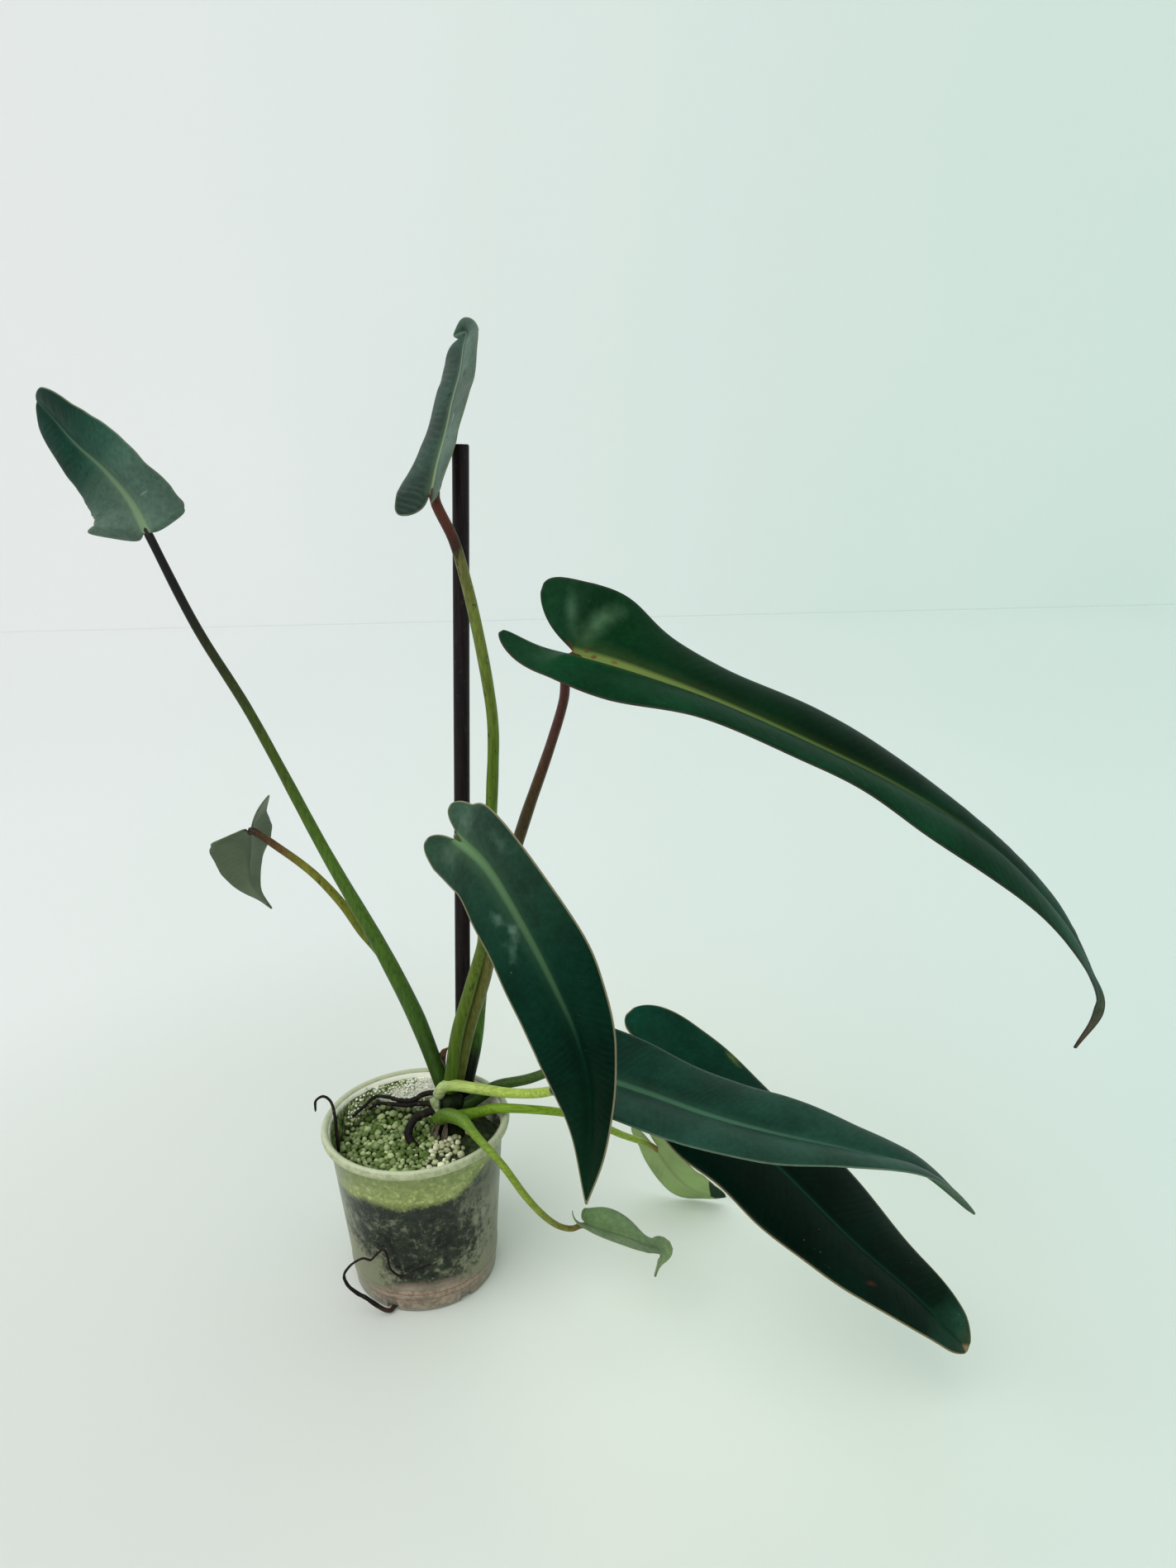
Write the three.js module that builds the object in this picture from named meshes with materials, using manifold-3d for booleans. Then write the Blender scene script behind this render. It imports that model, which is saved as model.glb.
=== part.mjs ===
// Potted Philodendron spiritus-sancti: a clear nursery pot of gritty mix, a short stem,
// nine long-lobed leaves on stalks, a dark support stake and loose aerial roots.
// Millimetres, +Z up. The origin lies on the surface under the middle of the pot,
// +X is the side the long leaves lean to and -Y is the side the plant is viewed from.
import * as THREE from 'three';
import { mergeVertices } from 'three/addons/utils/BufferGeometryUtils.js';
import loadManifold from 'manifold-3d';

// Driving dimensions
const CLEARANCE = 0.3;
const POT_HEIGHT = 84.5;
const POT_RIM_RADIUS = 45;
const POT_TOP_RADIUS = 41.5;
const POT_BASE_RADIUS = 34.4;
const POT_SIDES = 40;
const POT_WALL = 1;
const POT_FLOOR = 1.2;
const LIP_HEIGHT = 5;
const MIX_TOP = 60;
const DRESSING_TOP = 68;
const BANK_HEIGHT = 14;
const DRAIN_HOLE_RADIUS = 3.5;
const DRAIN_HOLE_HEIGHT = 3.2;
const DRAIN_HOLE_COUNT = 6;
const DRAIN_HOLE_START = 10;
const BLADE_THICKNESS = 0.8;
const MIDRIB_HALF_WIDTH = 1.3;
const MIDRIB_DEPTH = 1.1;
const STAKE_RADIUS = 3.7;
const STAKE_FOOT = [17.5, 27, 34];
const STAKE_TOP = [35.5, 32, 394];
const GRAIN_SEED = 7;
const GRAIN_COUNT = 62;

const vector = (list) => new THREE.Vector3(...list);
const radians = THREE.MathUtils.degToRad;

// Repeatable random numbers for the grains
function seededRandom(seed) {
  let state = seed;
  return () => {
    state = (state * 16807) % 2147483647;
    return state / 2147483647;
  };
}

const wasm = await loadManifold();
wasm.setup();

function toSolid(geometry) {
  const bare = geometry.clone();
  bare.deleteAttribute('normal');
  bare.deleteAttribute('uv');
  const merged = mergeVertices(bare, 1e-4);
  const mesh = new wasm.Mesh({
    numProp: 3,
    vertProperties: Float32Array.from(merged.attributes.position.array),
    triVerts: Uint32Array.from(merged.index.array),
  });
  return new wasm.Manifold(mesh);
}

function toGeometry(solid) {
  const mesh = solid.getMesh();
  const geometry = new THREE.BufferGeometry();
  geometry.setAttribute('position', new THREE.BufferAttribute(mesh.vertProperties, 3));
  geometry.setIndex(new THREE.BufferAttribute(mesh.triVerts, 1));
  geometry.computeVertexNormals();
  return geometry;
}

// A value part of the way along a list of numbers, smoothly
function along(list, t) {
  const place = THREE.MathUtils.clamp(t, 0, 1) * (list.length - 1);
  const i = Math.min(Math.floor(place), list.length - 2);
  const f = place - i;
  const before = i > 0 ? list[i - 1] : 2 * list[0] - list[1];
  const last = list.length - 1;
  const after = i + 2 <= last ? list[i + 2] : 2 * list[last] - list[last - 1];
  const slopeIn = (list[i + 1] - before) / 2;
  const slopeOut = (after - list[i]) / 2;
  const rise = list[i + 1] - list[i];
  return list[i] + slopeIn * f + (3 * rise - 2 * slopeIn - slopeOut) * f * f
    + (slopeIn + slopeOut - 2 * rise) * f * f * f;
}

function pointAlong(points, t) {
  return new THREE.Vector3(...[0, 1, 2].map((axis) => along(points.map((p) => p[axis]), t)));
}

// A round bar that follows a list of points, with its radius given along the way
function bar(points, radii, sides = 8, segments = 16, grow = 0) {
  const curve = new THREE.CatmullRomCurve3(points.map(vector), false, 'centripetal');
  const frames = curve.computeFrenetFrames(segments, false);
  const geometry = new THREE.CylinderGeometry(1, 1, segments, sides, segments);
  const position = geometry.attributes.position;
  const spot = new THREE.Vector3();
  for (let i = 0; i < position.count; i += 1) {
    spot.fromBufferAttribute(position, i);
    const ring = Math.round(spot.y + segments / 2);
    const t = ring / segments;
    const radius = along(radii, t) + grow;
    const centre = curve.getPointAt(t);
    if (ring === 0) centre.addScaledVector(frames.tangents[0], -grow);
    if (ring === segments) centre.addScaledVector(frames.tangents[segments], grow);
    centre.addScaledVector(frames.normals[ring], spot.z * radius);
    centre.addScaledVector(frames.binormals[ring], spot.x * radius);
    position.setXYZ(i, centre.x, centre.y, centre.z);
  }
  return geometry;
}

// A thin closed solid from a grid of points, where null leaves a place out of the sheet.
// Both faces have the same triangles, and each free edge is closed by a narrow band.
function sheet(grid, thickness, depthBelow = () => 0) {
  const number = new Map();
  const centres = [];
  const places = [];
  grid.forEach((row, i) => row.forEach((point, j) => {
    if (!point) return;
    number.set(`${i},${j}`, centres.length / 3);
    centres.push(point.x, point.y, point.z);
    places.push([i, j]);
  }));
  const middle = (grid[0].length - 1) / 2;
  const triangles = [];
  for (let i = 0; i + 1 < grid.length; i += 1) {
    for (let j = 0; j + 1 < grid[0].length; j += 1) {
      const corners = [[i, j], [i, j + 1], [i + 1, j + 1], [i + 1, j]];
      const [a, b, c, d] = corners.map((corner) => number.get(corner.join(',')));
      if ([a, b, c, d].includes(undefined)) continue;
      if (j < middle) triangles.push([a, b, c], [a, c, d]);
      else triangles.push([a, b, d], [b, c, d]);
    }
  }
  const surface = new THREE.BufferGeometry();
  surface.setAttribute('position', new THREE.Float32BufferAttribute(centres, 3));
  surface.setIndex(triangles.flat());
  surface.computeVertexNormals();
  const normal = surface.attributes.normal;
  const count = places.length;
  const shell = new Float32Array(count * 6);
  for (let k = 0; k < count; k += 1) {
    const below = thickness / 2 + depthBelow(...places[k]);
    for (let axis = 0; axis < 3; axis += 1) {
      const n = normal.array[3 * k + axis];
      shell[3 * k + axis] = centres[3 * k + axis] + n * thickness / 2;
      shell[3 * (count + k) + axis] = centres[3 * k + axis] - n * below;
    }
  }
  const index = [];
  const edges = new Map();
  for (const [a, b, c] of triangles) {
    index.push(a, b, c, count + a, count + c, count + b);
    for (const [p, q] of [[a, b], [b, c], [c, a]]) {
      if (edges.has(`${q},${p}`)) edges.delete(`${q},${p}`);
      else edges.set(`${p},${q}`, [p, q]);
    }
  }
  for (const [p, q] of edges.values()) index.push(p, count + p, q, q, count + p, count + q);
  const geometry = new THREE.BufferGeometry();
  geometry.setAttribute('position', new THREE.BufferAttribute(shell, 3));
  geometry.setIndex(index);
  return geometry;
}

// The directions along and across a midrib, and out of the leaf's upper side
function midribFrame(leaf, t) {
  const ahead = pointAlong(leaf.midrib, Math.min(t + 0.001, 1));
  const behind = pointAlong(leaf.midrib, Math.max(t - 0.001, 0));
  const forward = ahead.sub(behind).normalize();
  const across = new THREE.Vector3().crossVectors(forward, vector(leaf.face)).normalize();
  const up = new THREE.Vector3().crossVectors(across, forward);
  const roll = radians(along(leaf.roll, t));
  const turned = across.clone().multiplyScalar(Math.cos(roll)).addScaledVector(up, Math.sin(roll));
  up.multiplyScalar(Math.cos(roll)).addScaledVector(across, -Math.sin(roll));
  return { forward, across: turned, up };
}

// Half widths are one list for both sides, or a list for the left side and one for the right.
// Blunt is the share of the midrib over which the tip is rounded off.
function halfWidth(leaf, t, side) {
  const list = Array.isArray(leaf.halfWidth[0]) ? leaf.halfWidth[side < 0 ? 0 : 1] : leaf.halfWidth;
  const rounding = t > 1 - leaf.blunt ? Math.sqrt(1 - ((t - 1) / leaf.blunt + 1) ** 2) : 1;
  return Math.max(along(list, t) * rounding, 0.4);
}

// A point of the blade ahead of the stalk, u being 0 at the midrib and 1 at the margin
function bladePoint(leaf, t, side, u) {
  const { forward, across, up } = midribFrame(leaf, t);
  const fold = radians(along(leaf.fold, t));
  const out = across.clone().multiplyScalar(side * Math.cos(fold)).addScaledVector(up, Math.sin(fold));
  const sweep = leaf.sweep[side < 0 ? 0 : 1] * u * (1 - t) ** 4;
  const lift = up.clone().multiplyScalar(Math.cos(fold)).addScaledVector(across, -side * Math.sin(fold));
  const width = halfWidth(leaf, t, side);
  const swell = 0.32 * u * (1 - u) * width;
  const wave = leaf.wave * u * u * Math.sin(Math.PI * (leaf.waves * 2 * t + side * 0.6));
  const spot = pointAlong(leaf.midrib, t).addScaledVector(forward, sweep);
  return spot.addScaledVector(out, u * width).addScaledVector(lift, swell + wave);
}

// A point of one of the two lobes that reach back past the stalk, tau being 1 at its end
function lobePoint(leaf, tau, side, u) {
  const { forward, across, up } = midribFrame(leaf, 0);
  const fold = radians(leaf.fold[0]);
  const out = across.clone().multiplyScalar(side * Math.cos(fold)).addScaledVector(up, Math.sin(fold));
  const which = side < 0 ? 0 : 1;
  const curl = radians(leaf.lobeCurl[which]) + 1e-6;
  const base = vector(leaf.midrib[0]);
  base.addScaledVector(forward, -leaf.lobeLength[which] * Math.sin(curl * tau) / curl);
  base.addScaledVector(up, leaf.lobeLength[which] * (1 - Math.cos(curl * tau)) / curl);
  const inner = MIDRIB_HALF_WIDTH + leaf.sinus[which] * tau ** 0.8;
  const full = halfWidth(leaf, 0, side);
  const outer = full * (1 + leaf.spread[which] * tau);
  const half = 0.5 * (outer - inner) * Math.sqrt(1 - 0.96 * tau ** 3);
  const reach = (inner + outer) / 2 + half * (2 * u - 1);
  base.addScaledVector(forward, leaf.sweep[which] * Math.min(reach / full, 1.3));
  return base.addScaledVector(out, reach);
}

function blade(leaf) {
  const { rows, lobeRows, columns } = leaf;
  const grid = [];
  for (let i = lobeRows; i >= 1; i -= 1) {
    const tau = Math.sin((Math.PI / 2) * (i / lobeRows));
    const row = [];
    for (let j = -columns; j <= columns; j += 1) {
      const u = (Math.abs(j) - 1) / (columns - 1);
      row.push(j === 0 ? null : lobePoint(leaf, tau, Math.sign(j), u));
    }
    grid.push(row);
  }
  for (let i = 0; i <= rows; i += 1) {
    const t = i / rows;
    const row = [];
    for (let j = -columns; j <= columns; j += 1) {
      const width = Math.max(halfWidth(leaf, t, Math.sign(j)), 2.5 * MIDRIB_HALF_WIDTH);
      const rib = MIDRIB_HALF_WIDTH / width;
      const u = j === 0 ? 0 : rib + (1 - rib) * ((Math.abs(j) - 1) / (columns - 1));
      row.push(bladePoint(leaf, t, j < 0 ? -1 : 1, u));
    }
    grid.push(row);
  }
  const ridge = (i, j) => {
    const t = (i - lobeRows) / rows;
    if (t < 0 || j !== columns) return 0;
    return MIDRIB_DEPTH * leaf.ribScale * (1 - 0.8 * t);
  };
  return sheet(grid, BLADE_THICKNESS, ridge);
}

// Leaves: each midrib runs from the stalk to the tip, and face is the way the upper side looks.
// Half widths, rolls and folds are spread evenly along the midrib.
const commonLeaf = { sweep: [0, 0], spread: [-0.05, -0.05], blunt: 0 };
const largeLeaf = {
  ...commonLeaf, ribScale: 1, wave: 0.8, waves: 3, sinus: [5, 5], rows: 20, lobeRows: 4, columns: 4,
};
const smallLeaf = {
  ...commonLeaf, ribScale: 0.5, wave: 0.3, waves: 2, sinus: [2.5, 2.5], rows: 10, lobeRows: 3, columns: 3,
};
const leaves = [
  {
    ...largeLeaf,
    name: 'leaf_left_tall',
    midrib: [[-114, 60, 357], [-122, 66, 372], [-135, 74, 386], [-151, 84, 398], [-166, 96, 411],
      [-176, 105, 418.5]],
    face: [0.2, -1, 0.2],
    halfWidth: [[20, 19.5, 20, 20.5, 20, 18.3, 16, 13.8, 11, 8],
      [20.5, 21.2, 19.3, 19.8, 20, 19, 16.5, 14, 11, 8]],
    roll: [5, 23, 33, 38, 43, 45],
    fold: [3, 5, 5, 3, 6, 8],
    blunt: 0.12,
    lobeLength: [7, 2],
    lobeCurl: [-100, -100],
    spread: [0.45, 0],
    sweep: [15, 3],
    sinus: [4, 4],
    wave: 0.25,
  },
  {
    ...largeLeaf,
    name: 'leaf_top_middle',
    midrib: [[26, 2, 374], [28, 12, 386], [31, 23, 399], [33, 34, 411], [36, 45, 424],
      [37, 54, 434], [38, 60, 441], [32, 62, 440]],
    face: [-0.5, -0.85, 0.1],
    halfWidth: [[16, 18, 16, 17, 14.5, 14.3, 14.5, 10, 5.5, 0.4],
      [11, 16, 14, 18, 15.5, 13.5, 14, 10.5, 5.5, 0.4]],
    roll: [5, 15, 18, 17, 17, 17, 18, 18],
    fold: [25, 12, 8, 4, 5, 5, 10, 10],
    lobeLength: [11, 8],
    lobeCurl: [20, 20],
    sinus: [1, 1],
    wave: 0.1,
  },
  {
    ...largeLeaf,
    name: 'leaf_right_long',
    midrib: [[82, -80, 322], [102, -86, 317], [130, -92, 307], [164, -98, 292], [196, -102, 276],
      [228, -104, 255], [255, -100, 227], [271.5, -95, 202], [278.8, -91, 183], [273, -88, 165]],
    face: [-0.2, -0.5, 0.85],
    halfWidth: [[27, 30, 26.5, 24.8, 25.5, 25.5, 21.5, 18, 17, 14, 7, 3.4, 1.5, 0.4],
      [29.5, 28.5, 27.5, 26.5, 27, 23.5, 26, 22.6, 18, 15, 7.5, 3.4, 1.5, 0.4]],
    roll: [0, 15, 27, 27, 27, 28, 30, 39, 38, 36],
    fold: [30, 10, 8, 8, 2, -5, -2, -2, 2, 5],
    lobeLength: [17.8, 23],
    lobeCurl: [35, 52],
    spread: [-0.05, -0.12],
    sinus: [7, 7],
    wave: 0.25,
    rows: 26,
  },
  {
    ...largeLeaf,
    name: 'leaf_front_hanging',
    midrib: [[32, -35, 239], [46, -52, 232], [60, -68, 214], [72, -80, 193], [81, -86, 171],
      [85, -88, 144], [82, -84, 96]],
    face: [-0.1, -1, 0.35],
    halfWidth: [[15.5, 21, 21.3, 22.4, 23.5, 23.5, 21.5, 19, 15.6, 12.5, 8.4, 0.4],
      [16.8, 17.6, 17, 18.2, 18.4, 19, 18.5, 18, 16.5, 13.4, 6.5, 0.4]],
    roll: [-10, -18, -20, -15, -15, -20, -30],
    fold: [5, 14, 14, 12, 18, 20, 10],
    lobeLength: [10, 11],
    lobeCurl: [20, 35],
    spread: [-0.13, -0.13],
    sinus: [2, 2],
    wave: 0.25,
  },
  {
    ...largeLeaf,
    name: 'leaf_right_upper',
    midrib: [[84, -42, 130], [108, -58, 130], [133, -74, 129], [157, -87, 129], [186, -98, 128],
      [210, -103, 123], [235, -100, 99.5]],
    face: [0, -0.4, 0.9],
    halfWidth: [[24, 25.5, 25, 25.5, 24, 22, 17.5, 13.5, 9, 0.4],
      [24, 27, 27.5, 25.5, 24, 23.5, 19, 17, 11, 0.4]],
    roll: [5, 18, 20, 22, 30, 40, 35],
    fold: [20, 10, 5, 7, 8, 10, 20],
    lobeLength: [11.5, 8],
    lobeCurl: [0, 0],
    wave: 0.25,
  },
  {
    ...largeLeaf,
    name: 'leaf_right_lower',
    midrib: [[117, -8, 119], [142, -28, 102], [168, -50, 85], [195, -72, 65], [218, -88, 50],
      [238, -98, 31]],
    face: [0, -0.4, 0.9],
    halfWidth: [[24, 28, 29, 28.5, 28.5, 28, 24.5, 19.5, 13.5, 6.5],
      [26, 29, 32.5, 30, 30.5, 27, 24.5, 20, 13, 7]],
    blunt: 0.07,
    roll: [0, 10, 13, 18, 20, 0],
    fold: [3, 0, 0, 0, 5, 25],
    lobeLength: [25.5, 20],
    lobeCurl: [-8, -40],
    spread: [-0.18, -0.2],
    sinus: [-7, 1.5],
    wave: 0.25,
  },
  {
    ...smallLeaf,
    name: 'leaf_small_front',
    midrib: [[80, -38, 50], [89, -39, 47], [99, -39, 43], [108, -38, 37.5], [115.5, -36, 31.5],
      [113, -32, 15.5]],
    face: [0, -0.5, 0.85],
    halfWidth: [[10, 12, 13, 13.4, 12.8, 11.2, 8.4, 6.6, 8, 1.4, 0.4],
      [7, 6.2, 5.8, 6, 6.4, 6.6, 6.2, 5, 2.5, 1.2, 0.4]],
    roll: [40, 30, 30, 38, 42, 40],
    fold: [15, 10, 5, 7, 8, 10],
    lobeLength: [2, 10],
    lobeCurl: [0, 75],
    spread: [-0.05, -0.4],
  },
  {
    ...smallLeaf,
    name: 'leaf_small_right',
    midrib: [[118, 38, 37], [124, 38, 26], [130.5, 37.5, 17.5], [137.5, 37, 11.5], [146, 36.5, 8],
      [155, 36, 7]],
    face: [0.1, 0.9, 0.3],
    halfWidth: [[13, 14.5, 15.5, 15, 12, 7.5, 3], [12.5, 13.5, 14, 14, 12, 8, 3]],
    blunt: 0.12,
    roll: [-28, -20, -15, -8, -8, -8],
    fold: [0, 3, 3, 5, 12, 15],
    lobeLength: [14, 14],
    lobeCurl: [0, -15],
  },
  {
    ...smallLeaf,
    name: 'leaf_small_left',
    midrib: [[-82, 58, 212], [-86, 66, 199], [-89, 70, 187], [-87, 68, 177], [-76, 58, 170]],
    face: [-0.3, 0.95, 0.2],
    halfWidth: [[18.6, 19.4, 16, 11, 3.5, 0.4], [13, 15.5, 13.5, 9.5, 3, 0.4]],
    roll: [27, 22, 28, 29, 26],
    fold: [23, 21, 23, 24, 22],
    lobeLength: [7, 18],
    lobeCurl: [-40, -20],
    spread: [0.1, 0.15],
    sweep: [11, -3],
  },
];

// Stalks run from the crown of the stem to the underside of their leaf
const stalks = [
  {
    name: 'stalk_left_tall',
    points: [[12, 19, 86], [7, 22, 101], [-1, 27, 123], [-16.4, 34, 156], [-41.1, 42, 204],
      [-74.2, 51, 275], [-95.5, 56, 314], [-113, 60, 356]],
    radii: [4, 4.2, 3.4, 2.7, 2.4, 2.2, 2],
  },
  {
    name: 'stalk_top_middle',
    points: [[22, 20, 88], [27.2, 24, 108], [31, 28, 135], [36.2, 28, 179], [42.5, 24, 242],
      [44.4, 22, 271], [43.3, 18, 292], [40.2, 13, 318], [37, 8, 339], [33.2, 5, 356], [26, 2, 373]],
    radii: [4, 3.4, 2.9, 2.7, 2.5, 2.2],
  },
  {
    name: 'stalk_right_long',
    points: [[18, 16, 90], [26, 15, 122], [36, 7, 154], [45.2, -8, 195], [59.7, -32, 243],
      [73.2, -56, 284], [78.6, -67.5, 303], [82, -79, 321]],
    radii: [3.4, 3.2, 3, 2.6, 2, 1.7],
  },
  {
    name: 'stalk_front_hanging',
    points: [[15, 13, 90], [21, 11, 122], [30, 5, 152], [37, -2, 176], [40, -12, 200], [38, -26, 223],
      [32, -34, 238]],
    radii: [3.4, 3.2, 2.8, 2.4, 2, 1.8],
  },
  {
    name: 'stalk_right_upper',
    points: [[9.5, 12, 88], [13, 11, 93.4], [19, 9, 95], [29, 6, 95], [48, -6, 99.4], [66, -22, 110],
      [84, -41, 129]],
    radii: [3, 2.7, 2.4, 2.3, 2.1, 2],
  },
  {
    name: 'stalk_right_lower',
    points: [[19, 16, 78], [29, 16, 84], [38, 14, 91], [55, 8, 98.5], [79, 2, 111], [103, -5, 119],
      [116, -8, 118]],
    radii: [3.4, 2.8, 2.4, 2.3, 2.1, 2],
  },
  {
    name: 'stalk_small_front',
    points: [[9, 10, 76], [14, 5, 81], [23, -9, 87.5], [33.5, -32, 92.5], [44.5, -43, 86.5],
      [55.5, -46, 70.5], [64, -44, 58], [70, -42, 52], [75, -40, 49.5], [79, -38, 50]],
    radii: [4, 3.4, 2.3, 1.8, 1.6, 1.45, 1.3],
  },
  {
    name: 'stalk_small_right',
    points: [[16, 10, 77], [28, 6, 81.5], [39, 0, 87.5], [54, -2, 88], [76, 6, 79], [99, 20, 58],
      [117, 36, 38]],
    radii: [3, 2.4, 2, 1.9, 1.7, 1.4],
  },
  {
    name: 'stalk_small_left',
    points: [[9, 27, 84], [-3, 36, 115], [-18.4, 43, 149], [-28.4, 47, 160.8], [-37.6, 50, 174.4],
      [-51.6, 53, 190.2], [-67.3, 56, 202.4], [-81, 58, 211]],
    radii: [3, 2.8, 2.6, 2.3, 2, 1.8],
  },
];

const roots = [
  {
    name: 'root_back',
    points: [[10, 18, 86], [1, 19.5, 84], [-4, 18.5, 81.5], [-11, 20, 80.5], [-17.5, 24, 80],
      [-24, 25, 79.8], [-29, 18.5, 78.3], [-34.3, 13.6, 75], [-36.3, 14.2, 70]],
    radii: [2.2, 2, 1.6, 1.2, 0.8],
  },
  {
    name: 'root_middle',
    points: [[8, 13, 82], [-2, 17.7, 80], [-7.5, 18, 79], [-16, 20.5, 78.3], [-22.5, 22, 77.7],
      [-27.5, 20.5, 75]],
    radii: [1.8, 1.5, 1.3, 1],
  },
  {
    name: 'root_curved',
    points: [[9, 11, 80], [3, 9, 80], [-2, 7, 78], [-5, 3, 73], [-3, 0, 70], [2, -3, 66], [5, -4, 61]],
    radii: [2.2, 2, 1.9, 1.8, 1.5],
  },
  {
    name: 'root_over_rim',
    points: [[-37, -5, 62], [-37.8, -4, 75], [-38.4, -1, 86], [-41.5, 3.5, 91.7], [-45, 4.5, 93.5],
      [-48.5, 4, 91.5], [-49, 3, 86]],
    radii: [1.2, 1.1, 0.9],
  },
  {
    name: 'root_outside',
    points: [[-10.7, -30, 1.8], [-13, -35, 1.8], [-17.5, -37, 6], [-23, -37, 11],
      [-27.8, -36.5, 14], [-31.2, -38, 20], [-32.2, -38, 25], [-29.6, -38, 29.5],
      [-26, -38.5, 33], [-22, -39, 35], [-19, -39, 34], [-16, -39, 37],
      [-12.5, -39.3, 40], [-11, -39.3, 36], [-10, -39, 28.5], [-5, -39, 24.5],
      [2, -39.5, 28.5], [9, -39, 31]],
    radii: [1, 1.2, 1, 0.8, 0.7, 0.7, 0.6],
    segments: 34,
  },
];

// Colours seen on each piece
const colours = {
  pot: 0xb9c2ae,
  mix: 0x2b2f22,
  grit: 0xb5b992,
  stem: 0x55603a,
  stake: 0x17110f,
  root: 0x241a15,
  bract: 0x8a5a33,
  stalk_left_tall: 0x4f7430,
  stalk_top_middle: 0x5d7a2e,
  stalk_right_long: 0x6b5f2c,
  stalk_front_hanging: 0x4c7a2a,
  stalk_right_upper: 0xa3b35a,
  stalk_right_lower: 0x3f5d2a,
  stalk_small_front: 0x8fa844,
  stalk_small_right: 0x86a83c,
  stalk_small_left: 0x6d7038,
  leaf_left_tall: 0x24483a,
  leaf_top_middle: 0x35564a,
  leaf_right_long: 0x0f3a28,
  leaf_front_hanging: 0x0d3630,
  leaf_right_upper: 0x12392f,
  leaf_right_lower: 0x0a2c24,
  leaf_small_front: 0x4b6a4c,
  leaf_small_right: 0x5d8a55,
  leaf_small_left: 0x5a6f5f,
};

function finish(name, geometry, color, roughness) {
  const material = new THREE.MeshStandardMaterial({ color, roughness, metalness: 0 });
  const mesh = new THREE.Mesh(geometry, material);
  mesh.name = name;
  return mesh;
}

// Pot: one turned wall with a rolled lip, two fine rings near the foot, and drain holes
function potRadius(z) {
  const slope = (POT_TOP_RADIUS - POT_BASE_RADIUS) / (POT_HEIGHT - LIP_HEIGHT);
  return POT_BASE_RADIUS + slope * z;
}

function potSolid() {
  const lipFoot = POT_HEIGHT - LIP_HEIGHT;
  const outline = [
    [0, 0],
    [POT_BASE_RADIUS - 0.8, 0],
    [potRadius(0.8), 0.8],
    [potRadius(8.5), 8.5],
    [potRadius(9.5) + 0.4, 9.5],
    [potRadius(10.5), 10.5],
    [potRadius(13), 13],
    [potRadius(14) + 0.4, 14],
    [potRadius(15), 15],
    [POT_TOP_RADIUS, lipFoot],
    [POT_RIM_RADIUS - 0.6, lipFoot + 0.6],
    [POT_RIM_RADIUS, lipFoot + 2.4],
    [POT_RIM_RADIUS - 0.4, POT_HEIGHT - 0.5],
    [POT_RIM_RADIUS - 1.4, POT_HEIGHT],
    [POT_TOP_RADIUS + 0.6, POT_HEIGHT - 0.4],
    [POT_TOP_RADIUS - POT_WALL + 0.2, lipFoot + 1],
    [potRadius(POT_FLOOR) - POT_WALL, POT_FLOOR],
    [0, POT_FLOOR],
  ];
  const turned = new THREE.LatheGeometry(outline.map(([r, z]) => new THREE.Vector2(r, z)), POT_SIDES);
  turned.rotateX(Math.PI / 2);
  let solid = toSolid(turned);
  for (let k = 0; k < DRAIN_HOLE_COUNT; k += 1) {
    const turn = radians(DRAIN_HOLE_START + (360 / DRAIN_HOLE_COUNT) * k);
    const radius = DRAIN_HOLE_RADIUS;
    const cutter = new THREE.CylinderGeometry(radius, radius, 2 * DRAIN_HOLE_HEIGHT, 12);
    cutter.rotateX(Math.PI / 2);
    const reach = POT_BASE_RADIUS - 2;
    cutter.translate(reach * Math.cos(turn), reach * Math.sin(turn), 0);
    solid = solid.subtract(toSolid(cutter));
  }
  return solid;
}

function mixSolid() {
  const low = POT_FLOOR + CLEARANCE;
  const gap = POT_WALL + CLEARANCE;
  const outline = [
    [0, low],
    [potRadius(low) - gap, low],
    [potRadius(MIX_TOP) - gap, MIX_TOP],
    [0, MIX_TOP],
  ];
  const turned = new THREE.LatheGeometry(outline.map(([r, z]) => new THREE.Vector2(r, z)), POT_SIDES);
  turned.rotateX(Math.PI / 2);
  return toSolid(turned);
}

// Height of the top dressing: banked up at the back, hollow around the stem
function dressingHeight(x, y) {
  const { smoothstep } = THREE.MathUtils;
  const byTheWall = smoothstep(y - 0.36 * x, 18, 30) * smoothstep(Math.hypot(x, y), 33, 39);
  const bank = BANK_HEIGHT * Math.max(smoothstep(y - 0.1 * x, 22, 39), byTheWall);
  const hollow = 2 * Math.exp(-((x - 25) ** 2 + (y + 4) ** 2) / 160);
  return DRESSING_TOP + bank - hollow + 0.5 * Math.sin(0.35 * x + 1) * Math.cos(0.31 * y);
}

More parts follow.
